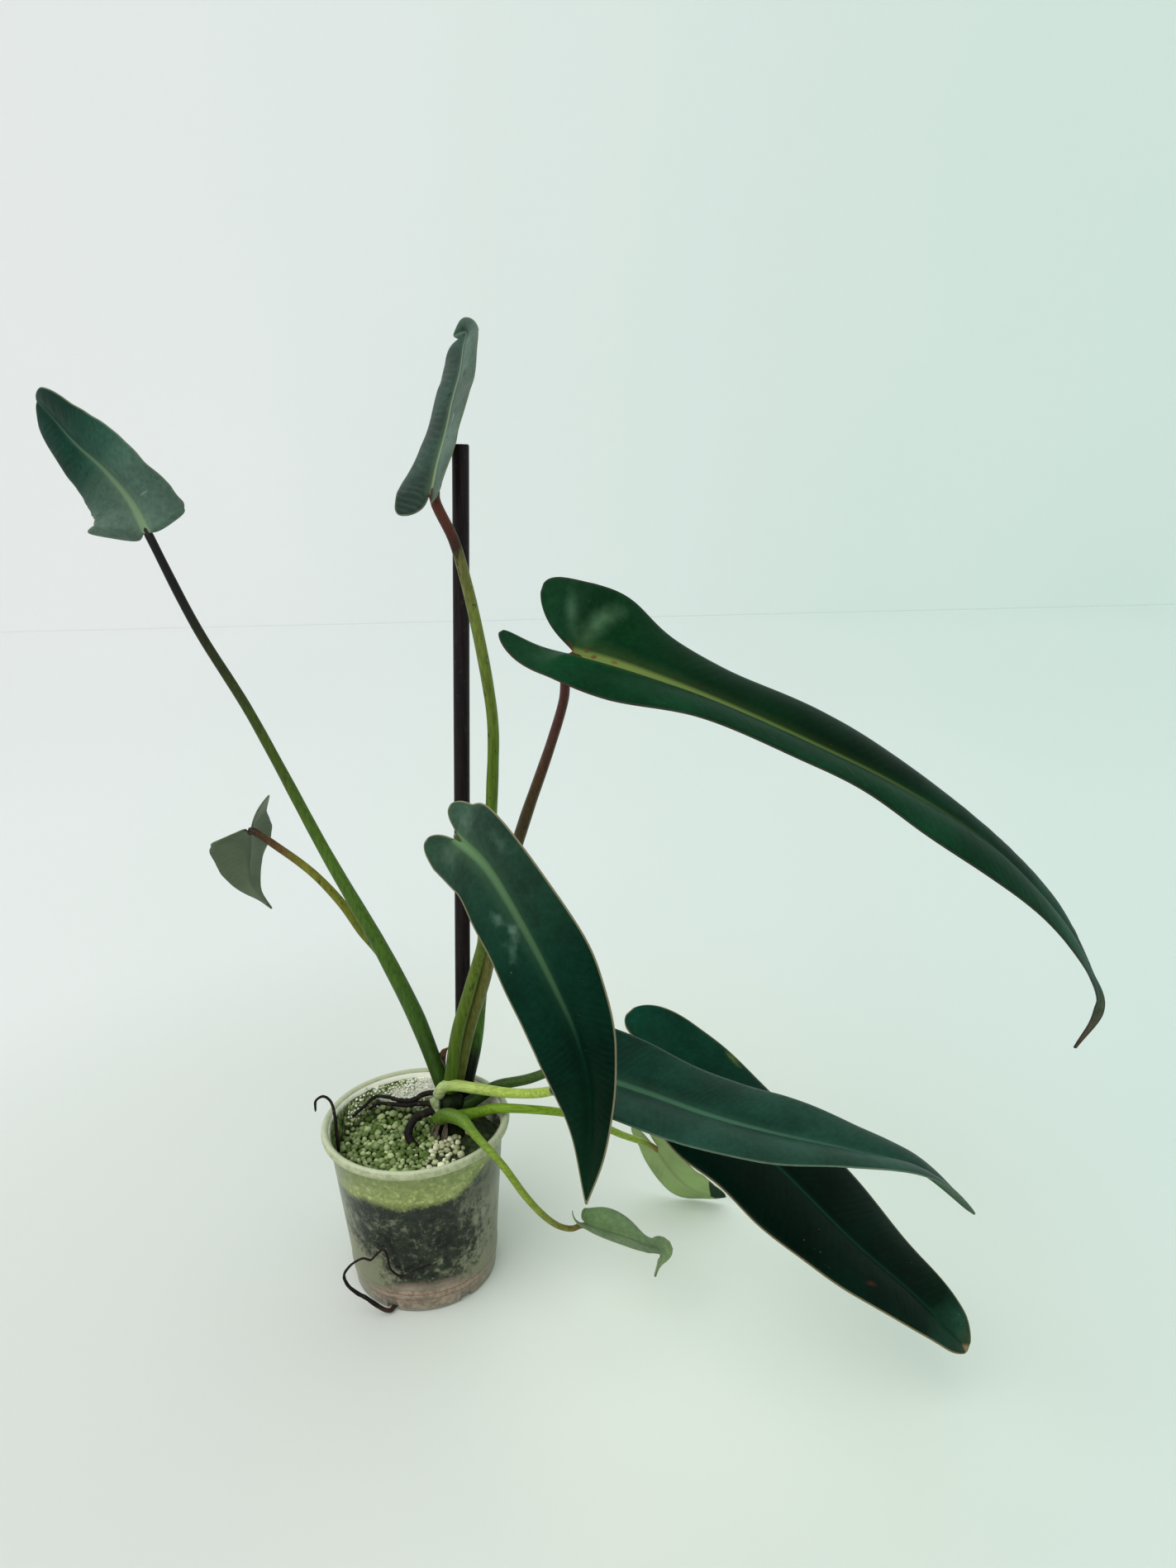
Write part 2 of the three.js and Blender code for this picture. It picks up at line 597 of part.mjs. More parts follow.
function dressingSolid() {
  const rings = 4;
  const low = MIX_TOP + CLEARANCE;
  const gap = POT_WALL + CLEARANCE;
  const profile = [new THREE.Vector2(0, low)];
  for (let k = rings; k >= 0; k -= 1) {
    const share = Math.sqrt(k / rings);
    profile.push(new THREE.Vector2(share, k === rings ? low : low + 1));
    if (k === rings) profile.push(new THREE.Vector2(share, low + 1));
  }
  const geometry = new THREE.LatheGeometry(profile, 28);
  geometry.rotateX(Math.PI / 2);
  const position = geometry.attributes.position;
  for (let i = 0; i < position.count; i += 1) {
    const x = position.getX(i) * (potRadius(low) - gap);
    const y = position.getY(i) * (potRadius(low) - gap);
    const top = position.getZ(i) > low + 0.5;
    const z = top ? dressingHeight(x, y) - 0.5 : low;
    const spread = (potRadius(z) - gap) / (potRadius(low) - gap);
    position.setXYZ(i, x * spread, y * spread, z);
  }
  let solid = toSolid(geometry);
  const random = seededRandom(GRAIN_SEED);
  const grains = [];
  while (grains.length < GRAIN_COUNT) {
    const turn = 2 * Math.PI * random();
    const reach = 36 * Math.sqrt(random());
    const x = reach * Math.cos(turn);
    const y = reach * Math.sin(turn);
    const size = 2 + 1.3 * random();
    const clear = grains.every((g) => Math.hypot(g.x - x, g.y - y) > 0.8 * (g.size + size));
    if (reach + size > 37.5 || !clear || y - 0.1 * x > 27) continue;
    grains.push({ x, y, size, spin: 6 * random(), flat: 0.65 + 0.3 * random() });
  }
  for (const grain of grains) {
    const shape = new THREE.IcosahedronGeometry(grain.size, 0);
    shape.scale(1, 0.85, grain.flat);
    shape.rotateZ(grain.spin);
    shape.translate(grain.x, grain.y, dressingHeight(grain.x, grain.y) - 0.1 * grain.size);
    solid = solid.add(toSolid(shape));
  }
  return solid;
}

// Stem: a short ringed rhizome with one ringed knuckle at its side
const stemPoints = [[14, 14, 52], [14, 13, 62], [14, 13, 70], [14, 15, 79], [15, 17, 87]];
const knucklePoints = [[12, 14, 72], [9.5, 12, 79], [9, 12, 87]];

function stemSolid(grow = 0) {
  const ringed = [7, 7.6, 7, 7.8, 7.1, 7.7, 6.9, 7.2, 5];
  const body = toSolid(bar(stemPoints, ringed, 12, 16, grow));
  const knuckle = toSolid(bar(knucklePoints, [3.4, 3.9, 3.3, 3.9, 3.2, 3.8, 3], 10, 12, grow));
  return body.add(knuckle);
}

function stakeSolid(grow = 0) {
  const rounded = [STAKE_RADIUS, STAKE_RADIUS, STAKE_RADIUS];
  return toSolid(bar([STAKE_FOOT, STAKE_TOP], rounded, 16, 1, grow));
}

// Dried bract left at the crown, a thin curled strip
const bractPoints = [[10, 23, 86], [9, 25, 93], [10, 26, 99], [12, 25, 105], [15, 23, 108]];

function bractSolid() {
  const grid = [];
  for (let i = 0; i <= 10; i += 1) {
    const t = i / 10;
    const centre = pointAlong(bractPoints, t);
    const width = along([3.4, 3, 2.2, 1.4, 0.6], t);
    const row = [];
    for (let j = -2; j <= 2; j += 1) {
      const spot = centre.clone();
      spot.x += (width * j) / 2;
      spot.y += 0.25 * width * (j / 2) ** 2;
      row.push(spot);
    }
    grid.push(row);
  }
  return toSolid(sheet(grid, 0.7));
}

function rootSolid(root, grow = 0) {
  return toSolid(bar(root.points, root.radii, 6, root.segments ?? 16, grow));
}

const stem = stemSolid();
const grownStem = stemSolid(CLEARANCE);
const stake = stakeSolid();
const grownStake = stakeSolid(CLEARANCE);
const grownStalks = stalks.map((stalk) => toSolid(bar(stalk.points, stalk.radii, 8, 16, CLEARANCE)));
const grownRoots = roots.map((root) => rootSolid(root, CLEARANCE));

// What grows out of another piece is cut clear of it, so that each stays a body of its own
function carve(solid, cutters) {
  return cutters.reduce((rest, cutter) => rest.subtract(cutter), solid);
}

function largestBody(solid) {
  const bodies = solid.decompose();
  return bodies.reduce((best, body) => (body.volume() > best.volume() ? body : best));
}

const plant = new THREE.Group();
plant.name = 'potted_philodendron';
plant.add(finish('pot', toGeometry(potSolid()), colours.pot, 0.35));
const buried = [grownStem, grownStake, ...grownRoots, ...grownStalks];
const mix = largestBody(carve(mixSolid(), buried));
plant.add(finish('potting_mix', toGeometry(mix), colours.mix, 0.95));
const dressing = largestBody(carve(dressingSolid(), buried));
plant.add(finish('top_dressing', toGeometry(dressing), colours.grit, 0.9));
plant.add(finish('stem', toGeometry(stem), colours.stem, 0.7));
plant.add(finish('stake', toGeometry(stake), colours.stake, 0.4));
stalks.forEach((stalk, k) => {
  const cutters = [grownStem, grownStake, ...grownStalks.slice(0, k)];
  const solid = carve(toSolid(bar(stalk.points, stalk.radii)), cutters);
  plant.add(finish(stalk.name, toGeometry(largestBody(solid)), colours[stalk.name], 0.45));
});
leaves.forEach((leaf) => {
  const solid = toSolid(blade(leaf));
  const body = largestBody(carve(solid, grownStalks));
  plant.add(finish(leaf.name, toGeometry(body), colours[leaf.name], 0.35));
});
roots.forEach((root, k) => {
  const cutters = [grownStem, grownStake, ...grownStalks, ...grownRoots.slice(0, k)];
  const solid = carve(rootSolid(root), cutters);
  plant.add(finish(root.name, toGeometry(largestBody(solid)), colours.root, 0.8));
});
const bract = carve(bractSolid(), [grownStem, grownStake, ...grownStalks, ...grownRoots]);
plant.add(finish('dried_bract', toGeometry(largestBody(bract)), colours.bract, 0.8));

export default plant;
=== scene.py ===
# Potted Philodendron spiritus-sancti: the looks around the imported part.
# Lists of points and sizes are in millimetres, as the part's source has them, and the scene is in metres.
import math
import random

import bmesh
import bpy
from mathutils import Matrix, Vector, noise


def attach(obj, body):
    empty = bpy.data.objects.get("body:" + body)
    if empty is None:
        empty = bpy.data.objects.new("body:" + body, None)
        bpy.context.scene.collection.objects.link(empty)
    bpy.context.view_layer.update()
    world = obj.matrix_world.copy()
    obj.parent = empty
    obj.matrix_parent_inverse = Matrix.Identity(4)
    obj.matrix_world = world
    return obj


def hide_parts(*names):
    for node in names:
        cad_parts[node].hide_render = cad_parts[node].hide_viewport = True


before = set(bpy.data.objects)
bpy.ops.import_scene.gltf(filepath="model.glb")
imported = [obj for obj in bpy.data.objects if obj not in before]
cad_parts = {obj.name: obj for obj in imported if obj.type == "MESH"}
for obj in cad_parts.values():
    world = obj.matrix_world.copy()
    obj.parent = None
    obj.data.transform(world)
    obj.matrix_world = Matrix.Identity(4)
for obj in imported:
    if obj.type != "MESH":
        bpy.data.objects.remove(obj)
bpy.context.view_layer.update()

MM = 0.001  # one millimetre in metres

# Camera as the photograph was taken
CAMERA_PLACE = Vector((86.8, -476.4, 395.0)) * MM
CAMERA_DOWN = math.radians(16.96)
CAMERA_LEAN = math.radians(-1.36)
CAMERA_LENS = 26.0

# Sizes that the looks share with the part
POT_HEIGHT = 84.5
POT_RIM_RADIUS = 45.0
POT_TOP_RADIUS = 41.5
POT_BASE_RADIUS = 34.4
POT_WALL = 1.0
POT_FLOOR = 1.2
LIP_HEIGHT = 5.0
LIP_FOOT = POT_HEIGHT - LIP_HEIGHT
MIX_TOP = 60.0
DRESSING_TOP = 68.0
BANK_HEIGHT = 14.0
DRAIN_HOLE_RADIUS = 3.5
DRAIN_HOLE_HEIGHT = 3.2
DRAIN_HOLE_COUNT = 6
DRAIN_HOLE_START = 10
BLADE_THICKNESS = 0.8
MIDRIB_HALF_WIDTH = 1.3
MIDRIB_DEPTH = 1.1
STAKE_RADIUS = 3.7
STAKE_FOOT = (17.5, 27, 34)
STAKE_TOP = (35.5, 32, 394)
CLEARANCE = 0.3
BLADE_SWELL = 0.32

# Sizes of the looks alone
MARGIN_THICKNESS = 0.45
RIB_GROOVE = 0.25
VEIN_HEIGHT = 0.16
VEIN_SLANT = 0.55
VEIN_WAVE = 1.9
STALK_UNDER_BLADE = 1.2
LYING_RISE = 60
RING_LINES = (7.4, 10.6)
FILM_FOOT = 60
GRAIN_MIDDLES = 38.2
GRAIN_LIMIT = 39.3
GRIT = dict(count=680, sizes=(1.3, 2.4), packed=0.66)
CHIPS = dict(count=150, sizes=(1.2, 2.3), packed=0.7)
CRUMBS = dict(count=420, sizes=(0.35, 0.85), packed=0.6)
GRIT_BELOW = DRESSING_TOP + 6.5
CRUMBS_ABOVE = DRESSING_TOP + 4.5
BRACT_THICKNESS = 0.4
STAKE_EDGE = 0.8
SEED = 11

# Middle of the painted light on the floor under the leaves on the right, in metres
PAINTED_LIGHT_SPOT = (0.145, -0.02, 0)


# Smooth lists and paths

def along(values, t):
    """A value part of the way along a list, smoothly."""
    last = len(values) - 1
    place = min(max(t, 0.0), 1.0) * last
    i = min(int(place), last - 1)
    f = place - i
    before = values[i - 1] if i > 0 else 2 * values[0] - values[1]
    after = values[i + 2] if i + 2 <= last else 2 * values[last] - values[last - 1]
    slope_in = (values[i + 1] - before) / 2
    slope_out = (after - values[i]) / 2
    rise = values[i + 1] - values[i]
    return (values[i] + slope_in * f + (3 * rise - 2 * slope_in - slope_out) * f * f
            + (slope_in + slope_out - 2 * rise) * f * f * f)


def point_along(points, t):
    return along([Vector(p) for p in points], t)


def even_path(points, steps):
    """Points at even spacing on a smooth curve through the given points."""
    given = [Vector(p) for p in points]
    given = [2 * given[0] - given[1]] + given + [2 * given[-1] - given[-2]]
    dense = []
    for a, b, c, d in zip(given, given[1:], given[2:], given[3:]):
        ab, bc, cd = ((q - p).length ** 0.5 for p, q in ((a, b), (b, c), (c, d)))
        slope_in = ((b - a) / ab - (c - a) / (ab + bc) + (c - b) / bc) * bc
        slope_out = ((c - b) / bc - (d - b) / (bc + cd) + (d - c) / cd) * bc
        for k in range(16):
            f = k / 16
            dense.append(b + slope_in * f + (3 * (c - b) - 2 * slope_in - slope_out) * f * f
                         + (slope_in + slope_out - 2 * (c - b)) * f * f * f)
    dense.append(given[-2])
    reach = [0.0]
    for p, q in zip(dense, dense[1:]):
        reach.append(reach[-1] + (q - p).length)
    path = []
    k = 0
    for step in range(steps + 1):
        goal = reach[-1] * step / steps
        while k < len(reach) - 2 and reach[k + 1] < goal:
            k += 1
        share = (goal - reach[k]) / max(reach[k + 1] - reach[k], 1e-9)
        path.append(dense[k].lerp(dense[k + 1], min(share, 1.0)))
    return path


def smooth_step(value, low, high):
    """Nought below low, one above high, and an eased rise between."""
    share = min(max((value - low) / (high - low), 0.0), 1.0)
    return share * share * (3 - 2 * share)


# Meshes

def new_piece(name, bm, finishes, smooth=True):
    """An object of its own from a finished mesh, which is used up."""
    mesh = bpy.data.meshes.new(name)
    bm.to_mesh(mesh)
    bm.free()
    if smooth:
        mesh.shade_smooth()
    piece = bpy.data.objects.new(name, mesh)
    bpy.context.collection.objects.link(piece)
    for finish in finishes:
        mesh.materials.append(finish)
    return piece


def close_and_turn_out(bm):
    """Joins the seam, fills the open ends and turns all faces outward."""
    bmesh.ops.remove_doubles(bm, verts=bm.verts, dist=1e-6)
    bmesh.ops.holes_fill(bm, edges=bm.edges, sides=0)
    bmesh.ops.recalc_face_normals(bm, faces=bm.faces)


def tube_mesh(points, radii, sides=14, rings=60, crinkle=0.0, grain=0.1, ending=2.0):
    """A closed round bar on a smooth path, with its share of the way kept for its finish."""
    bm = bmesh.new()
    bmesh.ops.create_grid(bm, x_segments=sides, y_segments=rings, size=0.5)
    share = bm.verts.layers.float.new("share")
    path = even_path(points, rings)
    ahead = [(path[min(k + 1, rings)] - path[max(k - 1, 0)]).normalized() for k in range(rings + 1)]
    length = sum((q - p).length for p, q in zip(path, path[1:]))
    side = ahead[0].orthogonal().normalized()
    sides_along = []
    for direction in ahead:
        side = (side - direction * side.dot(direction)).normalized()
        sides_along.append(side)
    for vert in bm.verts:
        ring = round((vert.co.y + 0.5) * rings)
        turn = 2 * math.pi * (vert.co.x + 0.5)
        t = ring / rings
        vert[share] = t
        first = sides_along[ring]
        out = first * math.cos(turn) + ahead[ring].cross(first) * math.sin(turn)
        radius = along(radii, t)
        to_end = (1 - t) * length / ending
        if to_end < 1:
            radius *= math.sqrt(max(1 - (1 - to_end) ** 2, 0.02))
        if crinkle:
            radius *= 1 + crinkle * noise.noise((path[ring] + out * radius) * grain)
        vert.co = (path[ring] + out * radius) * MM
    close_and_turn_out(bm)
    return bm


def turned_mesh(outline, steps=96):
    """A closed solid turned from its outline of radius and height pairs round the Z axis."""
    bm = bmesh.new()
    verts = [bm.verts.new((radius * MM, 0, height * MM)) for radius, height in outline]
    edges = [bm.edges.new(pair) for pair in zip(verts, verts[1:])]
    bmesh.ops.spin(bm, geom=verts + edges, axis=(0, 0, 1), cent=(0, 0, 0), angle=2 * math.pi,
                   steps=steps, use_merge=True)
    close_and_turn_out(bm)
    return bm


# Finishes

def dimmed(colour, factor):
    return tuple(channel * factor for channel in colour)


class Finish:
    """A material with short ways to join its nodes."""

    def __init__(self, name):
        self.material = bpy.data.materials.new(name)
        self.material.use_nodes = True
        self.tree = self.material.node_tree
        self.shader = self.tree.nodes["Principled BSDF"]

    def put(self, socket, value):
        if isinstance(value, bpy.types.NodeSocket):
            self.tree.links.new(value, socket)
        elif hasattr(socket.default_value, "__len__") and len(socket.default_value) == 4:
            socket.default_value = (*value, 1.0) if len(value) == 3 else value
        else:
            socket.default_value = value

    def set(self, **sockets):
        for name, value in sockets.items():
            self.put(self.shader.inputs[name.replace("_", " ").title().replace("Ior", "IOR")], value)

    def place(self, scale=(1, 1, 1)):
        coordinates = self.tree.nodes.new("ShaderNodeTexCoord")
        mapping = self.tree.nodes.new("ShaderNodeMapping")
        mapping.inputs["Scale"].default_value = scale
        self.tree.links.new(coordinates.outputs["Object"], mapping.inputs["Vector"])
        return mapping.outputs["Vector"]

    def measured(self, name):
        node = self.tree.nodes.new("ShaderNodeAttribute")
        node.attribute_name = name
        return node.outputs["Fac"]

    def maths(self, how, first, second=0.0):
        node = self.tree.nodes.new("ShaderNodeMath")
        node.operation = how
        self.put(node.inputs[0], first)
        self.put(node.inputs[1], second)
        return node.outputs[0]

    def add(self, first, second):
        return self.maths("ADD", first, second)

    def less(self, first, second):
        return self.maths("SUBTRACT", first, second)

    def times(self, first, second):
        return self.maths("MULTIPLY", first, second)

    def larger(self, first, second):
        return self.maths("MAXIMUM", first, second)

    def fade(self, value, low, high, to_low=0.0, to_high=1.0):
        node = self.tree.nodes.new("ShaderNodeMapRange")
        node.interpolation_type = "SMOOTHSTEP"
        for name, number in zip(("Value", "From Min", "From Max", "To Min", "To Max"),
                                (value, low, high, to_low, to_high)):
            self.put(node.inputs[name], number)
        return node.outputs["Result"]

    def mix(self, share, first, second, how="MIX"):
        node = self.tree.nodes.new("ShaderNodeMix")
        node.data_type = "RGBA"
        node.blend_type = how
        self.put(node.inputs[0], share)
        self.put(node.inputs[6], first)
        self.put(node.inputs[7], second)
        return node.outputs[2]

    def mottle(self, place, scale, detail=3.0, roughness=0.55, distortion=0.0):
        node = self.tree.nodes.new("ShaderNodeTexNoise")
        self.put(node.inputs["Vector"], place)
        node.inputs["Scale"].default_value = scale
        node.inputs["Detail"].default_value = detail
        node.inputs["Roughness"].default_value = roughness
        node.inputs["Distortion"].default_value = distortion
        return node.outputs["Fac"]

    def cells(self, place, scale):
        """How far each spot is from the middle of its cell."""
        node = self.tree.nodes.new("ShaderNodeTexVoronoi")
        self.put(node.inputs["Vector"], place)
        node.inputs["Scale"].default_value = scale
        return node.outputs["Distance"]

    def ramp(self, value, stops):
        node = self.tree.nodes.new("ShaderNodeValToRGB")
        elements = node.color_ramp.elements
        for position, _ in stops[2:]:
            elements.new(position)
        for element, (position, colour) in zip(elements, stops):
            element.position = position
            element.color = (*colour, 1.0)
        self.put(node.inputs["Fac"], value)
        return node.outputs["Color"]

    def distance(self, place, spot):
        node = self.tree.nodes.new("ShaderNodeVectorMath")
        node.operation = "DISTANCE"
        self.put(node.inputs[0], place)
        node.inputs[1].default_value = spot
        return node.outputs["Value"]

    def split(self, place):
        node = self.tree.nodes.new("ShaderNodeSeparateXYZ")
        self.put(node.inputs[0], place)
        return node.outputs

    def bump(self, height, distance, strength):
        node = self.tree.nodes.new("ShaderNodeBump")
        node.inputs["Strength"].default_value = strength
        node.inputs["Distance"].default_value = distance
        self.put(node.inputs["Height"], height)
        self.tree.links.new(node.outputs["Normal"], self.shader.inputs["Normal"])

    def grey(self, value):
        node = self.tree.nodes.new("ShaderNodeCombineColor")
        for socket in node.inputs:
            self.put(socket, value)
        return node.outputs["Color"]

    def shaded(self, colour, factor):
        """A colour made lighter or darker by a factor that changes over the surface."""
        return self.mix(1.0, colour, self.grey(factor), "MULTIPLY")

    def height(self, place):
        """Millimetres above the floor."""
        return self.times(self.split(place)[2], 1 / MM)

    def veins(self, lengthwise, reach, place):
        """Soft uneven veins that leave the midrib and slant towards the margin."""
        slant = self.less(lengthwise, self.times(reach, VEIN_SLANT))
        stir = self.times(self.mottle(place, 45, 3), 9)
        wave = self.maths("SINE", self.times(self.add(slant, stir), VEIN_WAVE))
        patches = self.fade(self.mottle(place, 60, 2), 0.35, 0.65)
        depth = self.times(self.fade(reach, 1.5, 5), patches)
        return self.times(self.fade(wave, -0.2, 1), depth)

    def marked(self, colour, mark, lengthwise, across, place):
        """One scar, scuff or ring, at its own place on the blade."""
        half_length, half_width_of_mark = mark["size"]
        grain = 500 if half_length < 3.5 else 190
        stir = self.times(self.less(self.mottle(place, grain, 3), 0.5), mark.get("stir", 0.8))
        beyond = self.less(lengthwise, mark["at"][0])
        beside = self.less(across, mark["at"][1])
        turn = math.radians(mark.get("turn", 0))
        first = self.add(self.times(beyond, math.cos(turn)), self.times(beside, math.sin(turn)))
        second = self.less(self.times(beside, math.cos(turn)), self.times(beyond, math.sin(turn)))
        first = self.maths("DIVIDE", first, half_length)
        second = self.maths("DIVIDE", second, half_width_of_mark)
        away = self.maths("SQRT", self.add(self.times(first, first), self.times(second, second)))
        away = self.add(away, stir)
        inside = self.fade(away, 1, mark.get("soft", 0.6))
        if "ring" in mark:
            inside = self.times(inside, self.fade(away, mark["ring"] - 0.25, mark["ring"]))
        return self.mix(self.times(inside, mark.get("share", 0.8)), colour, mark["colour"])
